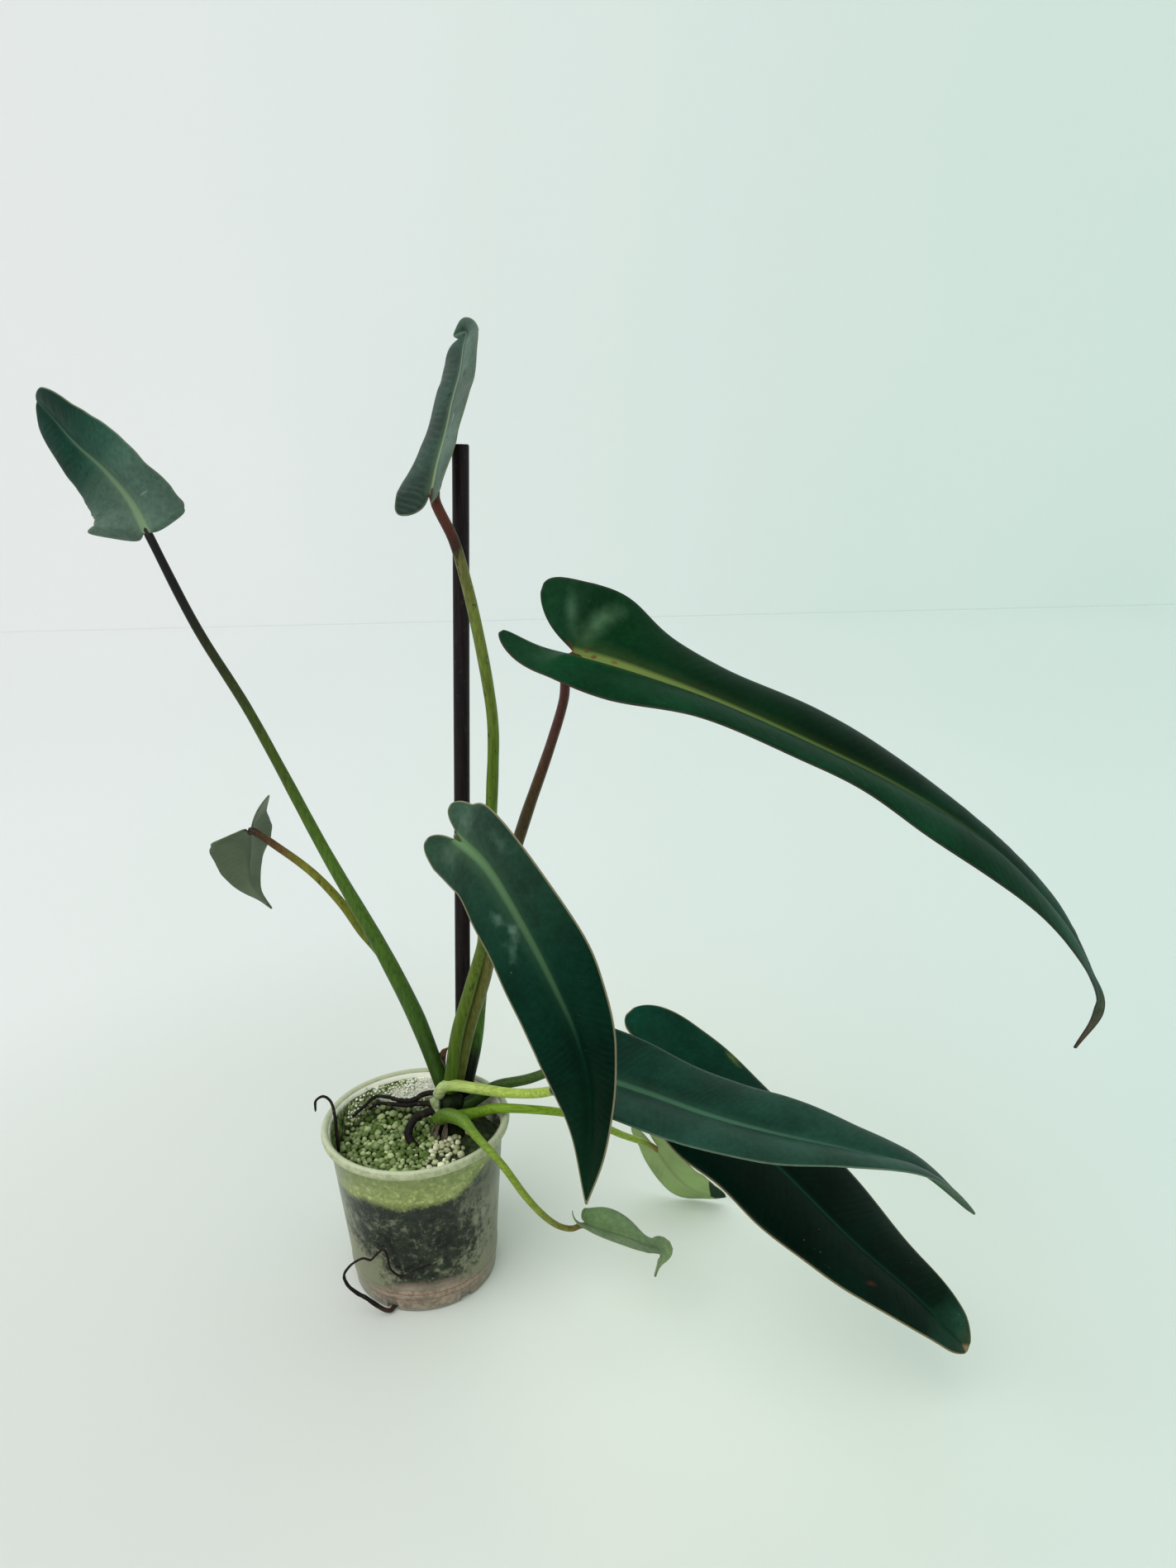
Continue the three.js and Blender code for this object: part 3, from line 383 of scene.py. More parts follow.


# Leaves: each midrib runs from the stalk to the tip, and face is the way the upper side looks.
# Half widths, rolls and folds are spread evenly along the midrib. Pairs are left, then right.
# Tones are shares of the way from the lobes to the tip, with the colour there. A mark is at so many
# millimetres ahead of the stalk and to the right of the midrib, and its size is half its length and
# half its width.
# Rib colours and widths are those by the stalk, then those by the tip.
# On some leaves the tones, the right-half tone and some marks also carry painted sheen and painted
# reflections, as noted where they stand.
LARGE = dict(sweep=(0, 0), spread=(-0.05, -0.05), rib_scale=1, wave=0.25, waves=3, sinus=(5, 5), blunt=0.0,
             rows=110, lobe_rows=18, columns=15, ragged=0.0, gloss=0.08, glow=0.2)
SMALL = dict(LARGE, rib_scale=0.5, wave=0.15, waves=2, sinus=(1.5, 1.5),
             rows=64, lobe_rows=12, columns=11, gloss=0.12, glow=0.1)
LEAVES = [
    dict(
        LARGE, name="left_tall",
        midrib=((-114, 60, 357), (-122, 66, 372), (-135, 74, 386), (-151, 84, 398), (-166, 96, 411),
                (-176, 105, 418.5)),
        face=(0.2, -1, 0.2),
        half_width=((20, 19.5, 20, 20.5, 20, 18.3, 16, 13.8, 11, 8),
                    (20.5, 21.2, 19.3, 19.8, 20, 19, 16.5, 14, 11, 8)),
        roll=(5, 23, 33, 38, 43, 45), fold=(3, 5, 5, 3, 6, 8), blunt=0.12,
        lobe_length=(7, 2), lobe_curl=(-100, -100), spread=(0.45, 0), sweep=(15, 3), sinus=(4, 4),
        ragged=0.06,
        # The greyish tones by the stalk are painted sheen, where this blade catches the bright sky.
        tones=((0.0, (0.1, 0.155, 0.12)), (0.2, (0.075, 0.128, 0.096)), (0.36, (0.062, 0.118, 0.086)),
               (0.5, (0.018, 0.06, 0.04)), (0.62, (0.003, 0.034, 0.021)), (1.0, (0.0005, 0.022, 0.013))),
        right_tone_and_sheen=(0.03, 0.075, 0.055), right_share=0.12, gloss=0.05,
        rib_colours=((0.2, 0.29, 0.16), (0.03, 0.085, 0.055)),
        rib_widths=(2.6, 0.5), margin=(0.16, 0.2, 0.13), under=(0.11, 0.16, 0.11), sheen=0.45,
        marks=(dict(at=(52, -7), size=(2.2, 0.5), turn=35, colour=(0.006, 0.02, 0.012)),
               dict(at=(47, -7.6), size=(1.2, 0.5), turn=20, colour=(0.006, 0.02, 0.012)),
               dict(at=(58, -3), size=(1.4, 0.4), turn=60, colour=(0.01, 0.03, 0.02)),
               dict(at=(24, -12), size=(2.6, 0.5), turn=75, colour=(0.04, 0.07, 0.05), share=0.5),
               dict(at=(17, 9), size=(2.8, 0.5), turn=100, colour=(0.2, 0.27, 0.21), share=0.5))),
    dict(
        LARGE, name="top_middle",
        midrib=((26, 2, 374), (28, 12, 386), (31, 23, 399), (33, 34, 411), (36, 45, 424), (37, 54, 434),
                (38, 60, 441), (32, 62, 440)),
        face=(-0.5, -0.85, 0.1),
        half_width=((16, 18, 16, 17, 14.5, 14.3, 14.5, 10, 5.5, 0.4),
                    (11, 16, 14, 18, 15.5, 13.5, 14, 10.5, 5.5, 0.4)),
        roll=(5, 15, 18, 17, 17, 17, 18, 18), fold=(25, 12, 8, 4, 5, 5, 10, 10),
        lobe_length=(11, 8), lobe_curl=(20, 20), sinus=(1, 1), ragged=0.03, wave=0.1,
        # The paler tones towards the tip and the paler right half are painted sheen.
        tones=((0.0, (0.014, 0.033, 0.023)), (0.3, (0.02, 0.045, 0.032)), (0.6, (0.026, 0.054, 0.04)),
               (0.8, (0.042, 0.08, 0.06)), (1.0, (0.06, 0.108, 0.082))),
        right_tone_and_sheen=(0.098, 0.155, 0.117), right_share=0.8,
        rib_colours=((0.24, 0.34, 0.17), (0.16, 0.24, 0.17)),
        rib_widths=(1.6, 0.6), margin=(0.12, 0.16, 0.1), under=(0.1, 0.15, 0.1), sheen=0.45,
        marks=(dict(at=(45, -2.5), size=(1.6, 0.6), turn=70, colour=(0.008, 0.02, 0.014)),
               dict(at=(50, 7.5), size=(2.2, 0.7), turn=25, colour=(0.01, 0.025, 0.018)),
               dict(at=(28, 9), size=(1.8, 0.6), turn=15, colour=(0.25, 0.32, 0.26)),
               dict(at=(21, 7.2), size=(1.2, 0.5), turn=100, colour=(0.015, 0.03, 0.02)),
               dict(at=(15.7, -13.8), size=(2.4, 0.8), turn=60, colour=(0.008, 0.02, 0.014)),
               dict(at=(60, -4), size=(3, 0.5), turn=10, colour=(0.02, 0.045, 0.03), share=0.6))),
    dict(
        LARGE, name="right_long",
        midrib=((82, -80, 322), (102, -86, 317), (130, -92, 307), (164, -98, 292), (196, -102, 276),
                (228, -104, 255), (255, -100, 227), (271.5, -95, 202), (278.8, -91, 183), (273, -88, 165)),
        face=(-0.2, -0.5, 0.85),
        half_width=((27, 30, 26.5, 24.8, 25.5, 25.5, 21.5, 18, 17, 14, 7, 3.4, 1.5, 0.4),
                    (29.5, 28.5, 27.5, 26.5, 27, 23.5, 26, 22.6, 18, 15, 7.5, 3.4, 1.5, 0.4)),
        roll=(0, 15, 27, 27, 27, 28, 30, 39, 38, 36), fold=(30, 10, 8, 8, 2, -5, -2, -2, 2, 5),
        lobe_length=(17.8, 23), lobe_curl=(35, 52), sinus=(7, 7), spread=(-0.05, -0.12), rows=150,
        tones=((0.0, (0.01, 0.048, 0.02)), (0.12, (0.003, 0.028, 0.009)), (0.4, (0.0002, 0.012, 0.003)),
               (0.65, (0.001, 0.022, 0.01)), (0.84, (0.014, 0.065, 0.04)), (0.92, (0.09, 0.09, 0.06)),
               (1.0, (0.12, 0.075, 0.055))),
        right_tone_and_sheen=(0.004, 0.05, 0.018), right_share=0.5,
        rib_colours=((0.2, 0.27, 0.07), (0.008, 0.04, 0.014)), rib_end=0.6, gloss=0.02, glow=0.12,
        rib_widths=(3.3, 0.4), margin=(0.05, 0.04, 0.03), under=(0.09, 0.16, 0.11), sheen=0.4,
        # The first two marks are painted reflections: pale streaks of sheen fanning out by the stalk.
        marks=(dict(at=(-6, -15), size=(14, 5), turn=65, soft=-0.9, stir=0.8, colour=(0.13, 0.26, 0.15),
                    share=0.5),
               dict(at=(9, -14), size=(18, 8), turn=-50, soft=-0.9, stir=0.8, colour=(0.15, 0.29, 0.15),
                    share=0.75),
               dict(at=(-2.5, -1.5), size=(5, 3.4), soft=0.1, colour=(0.16, 0.035, 0.03), share=0.85),
               dict(at=(7, -2.6), size=(2.4, 0.9), turn=10, soft=0.2, colour=(0.13, 0.05, 0.02), share=0.8),
               dict(at=(12, -1.2), size=(2.4, 1), turn=-10, soft=0.2, colour=(0.14, 0.045, 0.02), share=0.8),
               dict(at=(23, -1.2), size=(2.4, 0.9), soft=0.2, colour=(0.12, 0.07, 0.02), share=0.7))),
    dict(
        LARGE, name="front_hanging",
        midrib=((32, -35, 239), (46, -52, 232), (60, -68, 214), (72, -80, 193), (81, -86, 171),
                (85, -88, 144), (82, -84, 96)),
        face=(-0.1, -1, 0.35),
        half_width=((15.5, 21, 21.3, 22.4, 23.5, 23.5, 21.5, 19, 15.6, 12.5, 8.4, 0.4),
                    (16.8, 17.6, 17, 18.2, 18.4, 19, 18.5, 18, 16.5, 13.4, 6.5, 0.4)),
        roll=(-10, -18, -20, -15, -15, -20, -30), fold=(5, 14, 14, 12, 18, 20, 10),
        lobe_length=(10, 11), lobe_curl=(20, 35), spread=(-0.13, -0.13), sinus=(2, 2),
        tones=((0.0, (0.04, 0.08, 0.05)), (0.14, (0.027, 0.062, 0.04)), (0.3, (0.013, 0.042, 0.025)),
               (0.5, (0.002, 0.024, 0.013)), (0.72, (0.0003, 0.01, 0.005)), (1.0, (0.0008, 0.014, 0.004))),
        right_tone_and_sheen=(0.003, 0.026, 0.014), right_share=0.35,
        rib_colours=((0.13, 0.24, 0.11), (0.008, 0.045, 0.026)), rib_end=0.7, gloss=0.03,
        rib_widths=(3.2, 0.9), margin=(0.3, 0.27, 0.16), under=(0.08, 0.15, 0.08), sheen=0.42,
        marks=(dict(at=(4, -9), size=(12, 7), soft=-0.4, stir=1.6, colour=(0.13, 0.2, 0.15), share=0.5),
               dict(at=(6, 8), size=(12, 6), soft=-0.4, stir=1.6, colour=(0.11, 0.18, 0.13), share=0.45),
               dict(at=(49.5, -12), size=(5.5, 4), ring=0.75, soft=-0.2, stir=1.6, colour=(0.1, 0.18, 0.13),
                    share=0.28),
               dict(at=(60, 5), size=(6, 3), soft=-0.2, stir=2, colour=(0.16, 0.26, 0.2), share=0.6),
               dict(at=(52, 8), size=(4, 3), soft=-0.2, stir=2, colour=(0.12, 0.22, 0.16), share=0.5),
               dict(at=(68, 9), size=(6, 3), soft=-0.2, stir=2, colour=(0.09, 0.18, 0.13), share=0.45),
               dict(at=(30, -14), size=(8, 4), soft=-0.3, stir=2, colour=(0.09, 0.17, 0.12), share=0.4))),
    dict(
        LARGE, name="right_upper",
        midrib=((84, -42, 130), (108, -58, 130), (133, -74, 129), (157, -87, 129), (186, -98, 128),
                (210, -103, 123), (235, -100, 99.5)),
        face=(0, -0.4, 0.9),
        half_width=((24, 25.5, 25, 25.5, 24, 22, 17.5, 13.5, 9, 0.4),
                    (24, 27, 27.5, 25.5, 24, 23.5, 19, 17, 11, 0.4)),
        roll=(5, 18, 20, 22, 30, 40, 35), fold=(20, 10, 5, 7, 8, 10, 20),
        lobe_length=(11.5, 8), lobe_curl=(0, 0),
        tones=((0.0, (0.001, 0.018, 0.011)), (0.3, (0.004, 0.042, 0.025)), (0.7, (0.009, 0.044, 0.028)),
               (1.0, (0.009, 0.038, 0.025))),
        # The paler right half, the lower one as the leaf lies, is painted sheen.
        right_tone_and_sheen=(0.018, 0.066, 0.044), right_share=0.5,
        rib_colours=((0.08, 0.2, 0.115), (0.03, 0.09, 0.062)),
        rib_widths=(2.6, 0.8), margin=(0.1, 0.15, 0.1), under=(0.08, 0.15, 0.09), sheen=0.42),
    dict(
        LARGE, name="right_lower",
        midrib=((117, -8, 119), (142, -28, 102), (168, -50, 85), (195, -72, 65), (218, -88, 50),
                (238, -98, 31)),
        face=(0, -0.4, 0.9),
        half_width=((24, 28, 29, 28.5, 28.5, 28, 24.5, 19.5, 13.5, 6.5),
                    (26, 29, 32.5, 30, 30.5, 27, 24.5, 20, 13, 7)),
        roll=(0, 10, 13, 18, 20, 0), fold=(3, 0, 0, 0, 5, 25), blunt=0.07,
        lobe_length=(25.5, 20), lobe_curl=(-8, -40), spread=(-0.18, -0.2), sinus=(-7, 1.5),
        tones=((0.0, (0.002, 0.042, 0.023)), (0.28, (0.0015, 0.03, 0.016)), (0.45, (0.0002, 0.007, 0.0035)),
               (0.88, (0.0002, 0.01, 0.004)), (0.95, (0.012, 0.05, 0.028)), (1.0, (0.04, 0.06, 0.03))),
        right_tone_and_sheen=(0.0003, 0.01, 0.005), right_share=0.5,
        rib_colours=((0.015, 0.065, 0.032), (0.004, 0.035, 0.016)), gloss=0.05,
        rib_widths=(1.7, 0.6), margin=(0.24, 0.2, 0.1), under=(0.06, 0.12, 0.06), sheen=0.4,
        marks=(dict(at=(120.9, 14.6), size=(3.6, 1.6), turn=-30, stir=1.6, soft=0.2,
                    colour=(0.05, 0.016, 0.01)),
               dict(at=(175, 0.5), size=(4, 3), stir=1.0, soft=0.2, colour=(0.35, 0.25, 0.12)),
               dict(at=(24.4, -26), size=(7, 2.5), soft=-0.2, stir=1.5, colour=(0.13, 0.2, 0.04),
                    share=0.7))),
    dict(
        SMALL, name="small_front",
        midrib=((80, -38, 50), (89, -39, 47), (99, -39, 43), (108, -38, 37.5), (115.5, -36, 31.5),
                (113, -32, 15.5)),
        face=(0, -0.5, 0.85),
        half_width=((10, 12, 13, 13.4, 12.8, 11.2, 8.4, 6.6, 8, 1.4, 0.4),
                    (7, 6.2, 5.8, 6, 6.4, 6.6, 6.2, 5, 2.5, 1.2, 0.4)),
        roll=(40, 30, 30, 38, 42, 40), fold=(15, 10, 5, 7, 8, 10),
        lobe_length=(2, 10), lobe_curl=(0, 75), spread=(-0.05, -0.4),
        tones=((0.0, (0.08, 0.17, 0.05)), (0.4, (0.17, 0.26, 0.115)), (1.0, (0.19, 0.28, 0.13))),
        right_tone_and_sheen=(0.2, 0.25, 0.17), right_share=0.5, rib_colours=((0.12, 0.19, 0.09), (0.12, 0.19, 0.1)),
        rib_widths=(0.7, 0.3), margin=(0.2, 0.24, 0.12), under=(0.17, 0.25, 0.1), sheen=0.45,
        marks=(dict(at=(0, 0), size=(3, 2.2), soft=0.1, colour=(0.22, 0.12, 0.04), share=0.8),)),
    dict(
        SMALL, name="small_right",
        midrib=((118, 38, 37), (124, 38, 26), (130.5, 37.5, 17.5), (137.5, 37, 11.5), (146, 36.5, 8),
                (155, 36, 7)),
        face=(0.1, 0.9, 0.3),
        half_width=((13, 14.5, 15.5, 15, 12, 7.5, 3), (12.5, 13.5, 14, 14, 12, 8, 3)),
        roll=(-28, -20, -15, -8, -8, -8), fold=(0, 3, 3, 5, 12, 15), blunt=0.12,
        lobe_length=(14, 14), lobe_curl=(0, -15),
        tones=((0.0, (0.02, 0.05, 0.02)), (1.0, (0.012, 0.045, 0.015))),
        right_tone_and_sheen=(0.015, 0.045, 0.018), rib_colours=((0.06, 0.12, 0.04), (0.04, 0.09, 0.03)),
        rib_widths=(0.8, 0.3), margin=(0.26, 0.27, 0.12), under=(0.27, 0.38, 0.145), sheen=0.45,
        under_rib=0.3,
        tip_turned=dict(at=0.86, slant=0.008, colour=(0.012, 0.035, 0.014))),
    dict(
        SMALL, name="small_left",
        midrib=((-82, 58, 212), (-86, 66, 199), (-89, 70, 187), (-87, 68, 177), (-76, 58, 170)),
        face=(-0.3, 0.95, 0.2),
        half_width=((18.6, 19.4, 16, 11, 3.5, 0.4), (13, 15.5, 13.5, 9.5, 3, 0.4)),
        roll=(27, 22, 28, 29, 26), fold=(23, 21, 23, 24, 22),
        lobe_length=(7, 18), lobe_curl=(-40, -20), spread=(0.1, 0.15), sweep=(11, -3), ragged=0.03,
        tones=((0.0, (0.14, 0.19, 0.12)), (1.0, (0.09, 0.13, 0.08))),
        right_tone_and_sheen=(0.12, 0.17, 0.11), rib_colours=((0.15, 0.2, 0.12), (0.1, 0.14, 0.08)),
        rib_widths=(0.9, 0.3), margin=(0.15, 0.18, 0.11), under=(0.1, 0.132, 0.08), sheen=0.5,
        under_rib=0.12),
]


def midrib_frame(leaf, t):
    """The directions along and across a midrib, and out of the leaf's upper side."""
    ahead = point_along(leaf["midrib"], min(t + 0.001, 1))
    behind = point_along(leaf["midrib"], max(t - 0.001, 0))
    forward = (ahead - behind).normalized()
    across = forward.cross(Vector(leaf["face"])).normalized()
    up = across.cross(forward)
    roll = math.radians(along(leaf["roll"], t))
    turned = across * math.cos(roll) + up * math.sin(roll)
    return forward, turned, up * math.cos(roll) - across * math.sin(roll)


def side_frame(leaf, t, side):
    """The directions ahead, out to one margin, and off the face of that half of the blade."""
    forward, across, up = midrib_frame(leaf, t)
    fold = math.radians(along(leaf["fold"], t))
    out = across * side * math.cos(fold) + up * math.sin(fold)
    lift = up * math.cos(fold) - across * side * math.sin(fold)
    return forward, out, lift


def half_width(leaf, t, side):
    width = along(leaf["half_width"][0 if side < 0 else 1], t)
    width *= 1 + leaf["ragged"] * noise.noise(Vector((t * 14, side * 3, len(leaf["name"])))) * (1 - t)
    if t > 1 - leaf["blunt"]:
        width *= math.sqrt(1 - ((t - 1) / leaf["blunt"] + 1) ** 2)
    return max(width, 0.4)


def blade_row(leaf, t, side, shares):
    """Places, reaches and insets of one row ahead of the stalk, from the midrib to one margin."""
    forward, out, lift = side_frame(leaf, t, side)
    width = half_width(leaf, t, side)
    sweep = leaf["sweep"][0 if side < 0 else 1] * (1 - t) ** 4
    wave = leaf["wave"] * math.sin(math.pi * (leaf["waves"] * 2 * t + side * 0.6))
    spot = point_along(leaf["midrib"], t)
    rib = MIDRIB_HALF_WIDTH / max(width, 2.5 * MIDRIB_HALF_WIDTH)
    row = []
    for u in [0, rib / 2] + [rib + (1 - rib) * share for share in shares]:
        rise = BLADE_SWELL * u * (1 - u) * width + wave * u * u
        place = spot + forward * sweep * u + out * u * width + lift * rise
        row.append((place, u * width, (1 - u) * width))
    return row


def lobe_row(leaf, tau, side, shares):
    """The same for a row of one of the lobes that reach back past the stalk, tau being 1 at its end."""
    forward, out, lift = side_frame(leaf, 0, side)
    up = midrib_frame(leaf, 0)[2]
    which = 0 if side < 0 else 1
    length = leaf["lobe_length"][which]
    curl = math.radians(leaf["lobe_curl"][which]) + 1e-6
    base = Vector(leaf["midrib"][0]) - forward * length * math.sin(curl * tau) / curl
    base += up * length * (1 - math.cos(curl * tau)) / curl
    inner = MIDRIB_HALF_WIDTH + leaf["sinus"][which] * tau ** 0.8
    full = half_width(leaf, 0, side)
    outer = full * (1 + leaf["spread"][which] * tau)
    half = 0.5 * (outer - inner) * math.sqrt(1 - 0.97 * tau ** 3)
    settle = max(1 - tau / 0.6, 0) ** 2
    wave = leaf["wave"] * math.sin(math.pi * side * 0.6)
    row = []
    for share in shares:
        reach = (inner + outer) / 2 + half * (2 * share - 1)
        u = min(reach / full, 1)
        rise = settle * (BLADE_SWELL * u * (1 - u) * full + wave * u * u)
        shift = leaf["sweep"][which] * min(reach / full, 1.3)
        inset = min(half * 2 * share, half * 2 * (1 - share), (1 - tau) * length)
        row.append((base + forward * shift + out * reach + lift * rise, reach, inset))
    return row


def blade_mesh(leaf):
    """The upper face of one blade as a sheet of squares, with its own measures kept for its finish."""
    rows, lobe_rows, columns = leaf["rows"], leaf["lobe_rows"], leaf["columns"]
    bm = bmesh.new()
    bmesh.ops.create_grid(bm, x_segments=2 * columns, y_segments=rows + lobe_rows, size=0.5)
    lengthwise = bm.verts.layers.float.new("lengthwise")
    across = bm.verts.layers.float.new("across")
    inset = bm.verts.layers.float.new("inset")
    share = bm.verts.layers.float.new("share")
    group = bm.verts.layers.deform.verify()
    shares = [k / (columns - 2) for k in range(columns - 1)]
    length = sum((point_along(leaf["midrib"], (k + 1) / 20) - point_along(leaf["midrib"], k / 20)).length
                 for k in range(20))
    back = max(leaf["lobe_length"])
    made = {}
    dropped = []
    for vert in bm.verts:
        i = round((vert.co.y + 0.5) * (rows + lobe_rows)) - lobe_rows
        j = round(vert.co.x * 2 * columns)
        side = -1 if j < 0 else 1
        if i < 0 and abs(j) < 2:
            dropped.append(vert)
            continue
        tau = math.sin(math.pi / 2 * -i / lobe_rows)
        t = i / rows
        if (i, side) not in made:
            made[i, side] = lobe_row(leaf, tau, side, shares) if i < 0 else blade_row(leaf, t, side, shares)
        place, reach, edge = made[i, side][abs(j) - 2 if i < 0 else abs(j)]
        vert.co = place * MM
        vert[lengthwise] = -tau * back if i < 0 else t * length
        vert[across] = side * reach
        vert[inset] = edge if i < 0 else min(edge, 0.5 * (1 - t) * length)
        vert[share] = (vert[lengthwise] + back) / (length + back)
        rib = max(1 - reach / (MIDRIB_HALF_WIDTH * 1.6), 0) if i >= 0 else 0
        depth = MIDRIB_DEPTH * leaf["rib_scale"] * (1 - 0.8 * max(t, 0)) * smooth_step(rib, 0, 1)
        thick = MARGIN_THICKNESS + (BLADE_THICKNESS - MARGIN_THICKNESS) * smooth_step(edge, 0, 3) + depth
        vert[group][0] = thick / (BLADE_THICKNESS + MIDRIB_DEPTH)
    bmesh.ops.delete(bm, geom=dropped, context="VERTS")
    bmesh.ops.remove_doubles(bm, verts=bm.verts, dist=1e-7)
    bm.normal_update()
    for vert in bm.verts:
        reach = abs(vert[across])
        groove = RIB_GROOVE * leaf["rib_scale"] * max(1 - reach / leaf["rib_widths"][0], 0)
        slant = Vector((vert[lengthwise] - 0.5 * reach, vert[across] * 0.25, 0))
        vein = VEIN_HEIGHT * noise.noise(slant * 0.4)
        vein *= smooth_step(reach, 2, 6) * smooth_step(vert[inset], 0, 4)
        vert.co += vert.normal * (BLADE_THICKNESS / 2 - groove + vein * leaf["rib_scale"]) * MM
    return bm


def build_blade(leaf):
    piece = new_piece("blade_" + leaf["name"], blade_mesh(leaf), blade_finishes(leaf))
    piece.vertex_groups.new(name="thickness")
    solid = piece.modifiers.new("thickness", "SOLIDIFY")
    solid.thickness = (BLADE_THICKNESS + MIDRIB_DEPTH) * MM
    solid.offset = -1
    solid.vertex_group = "thickness"
    solid.material_offset = 1
    solid.material_offset_rim = 2
    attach(piece, "root")
    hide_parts("leaf_" + leaf["name"])


def blade_finishes(leaf):
    return [upper_finish(leaf), under_finish(leaf), margin_finish(leaf)]


def upper_finish(leaf):
    """Upper side: tones from stalk to tip, veins, dust, a pale rib, single marks and a dry margin, with
    painted sheen in the tones and marks of some leaves.
    """
    finish = Finish("upper_" + leaf["name"])
    place = finish.place()
    lengthwise, across = finish.measured("lengthwise"), finish.measured("across")
    inset, share = finish.measured("inset"), finish.measured("share")
    reach = finish.maths("ABSOLUTE", across)
    broad = finish.mottle(place, 38, 3)
    fine = finish.mottle(place, 420, 4, 0.65)
    tone_at = finish.add(share, finish.times(finish.less(broad, 0.5), 0.16))
    colour = finish.ramp(tone_at, leaf["tones"])
    # The right half's own tone, which on some leaves is painted sheen.
    right = finish.times(finish.fade(across, 0, 6), leaf.get("right_share", 0.55))
    colour = finish.mix(right, colour, leaf["right_tone_and_sheen"])
    colour = finish.shaded(colour, finish.fade(broad, 0.32, 0.7, 0.72, 1.25))
    colour = finish.shaded(colour, finish.fade(fine, 0.3, 0.75, 0.84, 1.18))
    vein_wave = finish.veins(lengthwise, reach, place)
    colour = finish.mix(finish.times(vein_wave, 0.1), colour, leaf["rib_colours"][1])
    spread_of_dust = finish.fade(finish.mottle(place, 70, 2), 0.52, 0.7)
    specks = finish.times(finish.fade(finish.cells(place, 260), 0.10, 0.03), spread_of_dust)
    colour = finish.mix(finish.times(specks, 0.35), colour, (0.2, 0.28, 0.22))
    colour = rib_over(finish, leaf, colour, lengthwise, reach, share)
    for mark in leaf.get("marks", ()):
        colour = finish.marked(colour, mark, lengthwise, across, place)
    colour = finish.mix(finish.fade(inset, 0.8, 0.3, 0, 0.7), colour, leaf["margin"])
    finish.set(base_color=colour, roughness=leaf["sheen"], specular_ior_level=leaf["gloss"])
    finish.bump(finish.add(finish.times(vein_wave, 0.35), finish.times(fine, 0.5)), 0.0002, 0.4)
    return finish.material


def rib_over(finish, leaf, colour, lengthwise, reach, share):
    """The midrib with its soft glow, laid over the colour of the blade ahead of the stalk."""
    width = finish.fade(share, 0, 0.9, *leaf["rib_widths"])
    rib_end = leaf.get("rib_end", 0.8)
    rib_colour = finish.ramp(share, ((0.1, leaf["rib_colours"][0]), (rib_end, leaf["rib_colours"][1])))
    ahead = finish.fade(lengthwise, -1.5, 1.5)
    glow = finish.fade(reach, finish.times(width, 3), finish.times(width, 0.3), 0, leaf["glow"])
    colour = finish.mix(finish.times(glow, ahead), colour, rib_colour)
    core = finish.fade(reach, finish.times(width, 1.1), finish.times(width, 0.4), 0, 0.85)
    if "rib_end" in leaf:
        core = finish.times(core, finish.fade(share, rib_end + 0.1, rib_end - 0.15))
    return finish.mix(finish.times(core, ahead), colour, rib_colour)


def under_finish(leaf):
    """Underside: one dull tone with faint veins and a darker rib, and a turned tip where a leaf has one."""
    finish = Finish("under_" + leaf["name"])
    place = finish.place()
    reach = finish.maths("ABSOLUTE", finish.measured("across"))
    fine = finish.mottle(place, 380, 4, 0.65)
    vein_wave = finish.veins(finish.measured("lengthwise"), reach, place)
    colour = finish.shaded(leaf["under"], finish.fade(finish.mottle(place, 45, 3), 0.3, 0.7, 0.82, 1.15))
    colour = finish.mix(finish.times(vein_wave, 0.15), colour, dimmed(leaf["under"], 0.6))
    rib_share = finish.fade(reach, 1.6, 0.7, 0, leaf.get("under_rib", 0.7))
    colour = finish.mix(rib_share, colour, dimmed(leaf["under"], 0.55))
    if "tip_turned" in leaf:
        tip = leaf["tip_turned"]
        to_tip = finish.add(finish.measured("share"), finish.times(finish.measured("across"), tip["slant"]))
        turned = finish.fade(to_tip, tip["at"] - 0.01, tip["at"] + 0.01)
        colour = finish.mix(turned, colour, tip["colour"])
    finish.set(base_color=colour, roughness=0.5, specular_ior_level=0.15)
    finish.bump(finish.add(fine, vein_wave), 0.0002, 0.4)
    return finish.material


def margin_finish(leaf):
    """Narrow dry edge all round the blade."""
    finish = Finish("margin_" + leaf["name"])
    shade = finish.fade(finish.mottle(finish.place(), 300, 3), 0.3, 0.7, 0.7, 1.2)
    finish.set(base_color=finish.shaded(leaf["margin"], shade), roughness=0.5, specular_ior_level=0.1)
    return finish.material


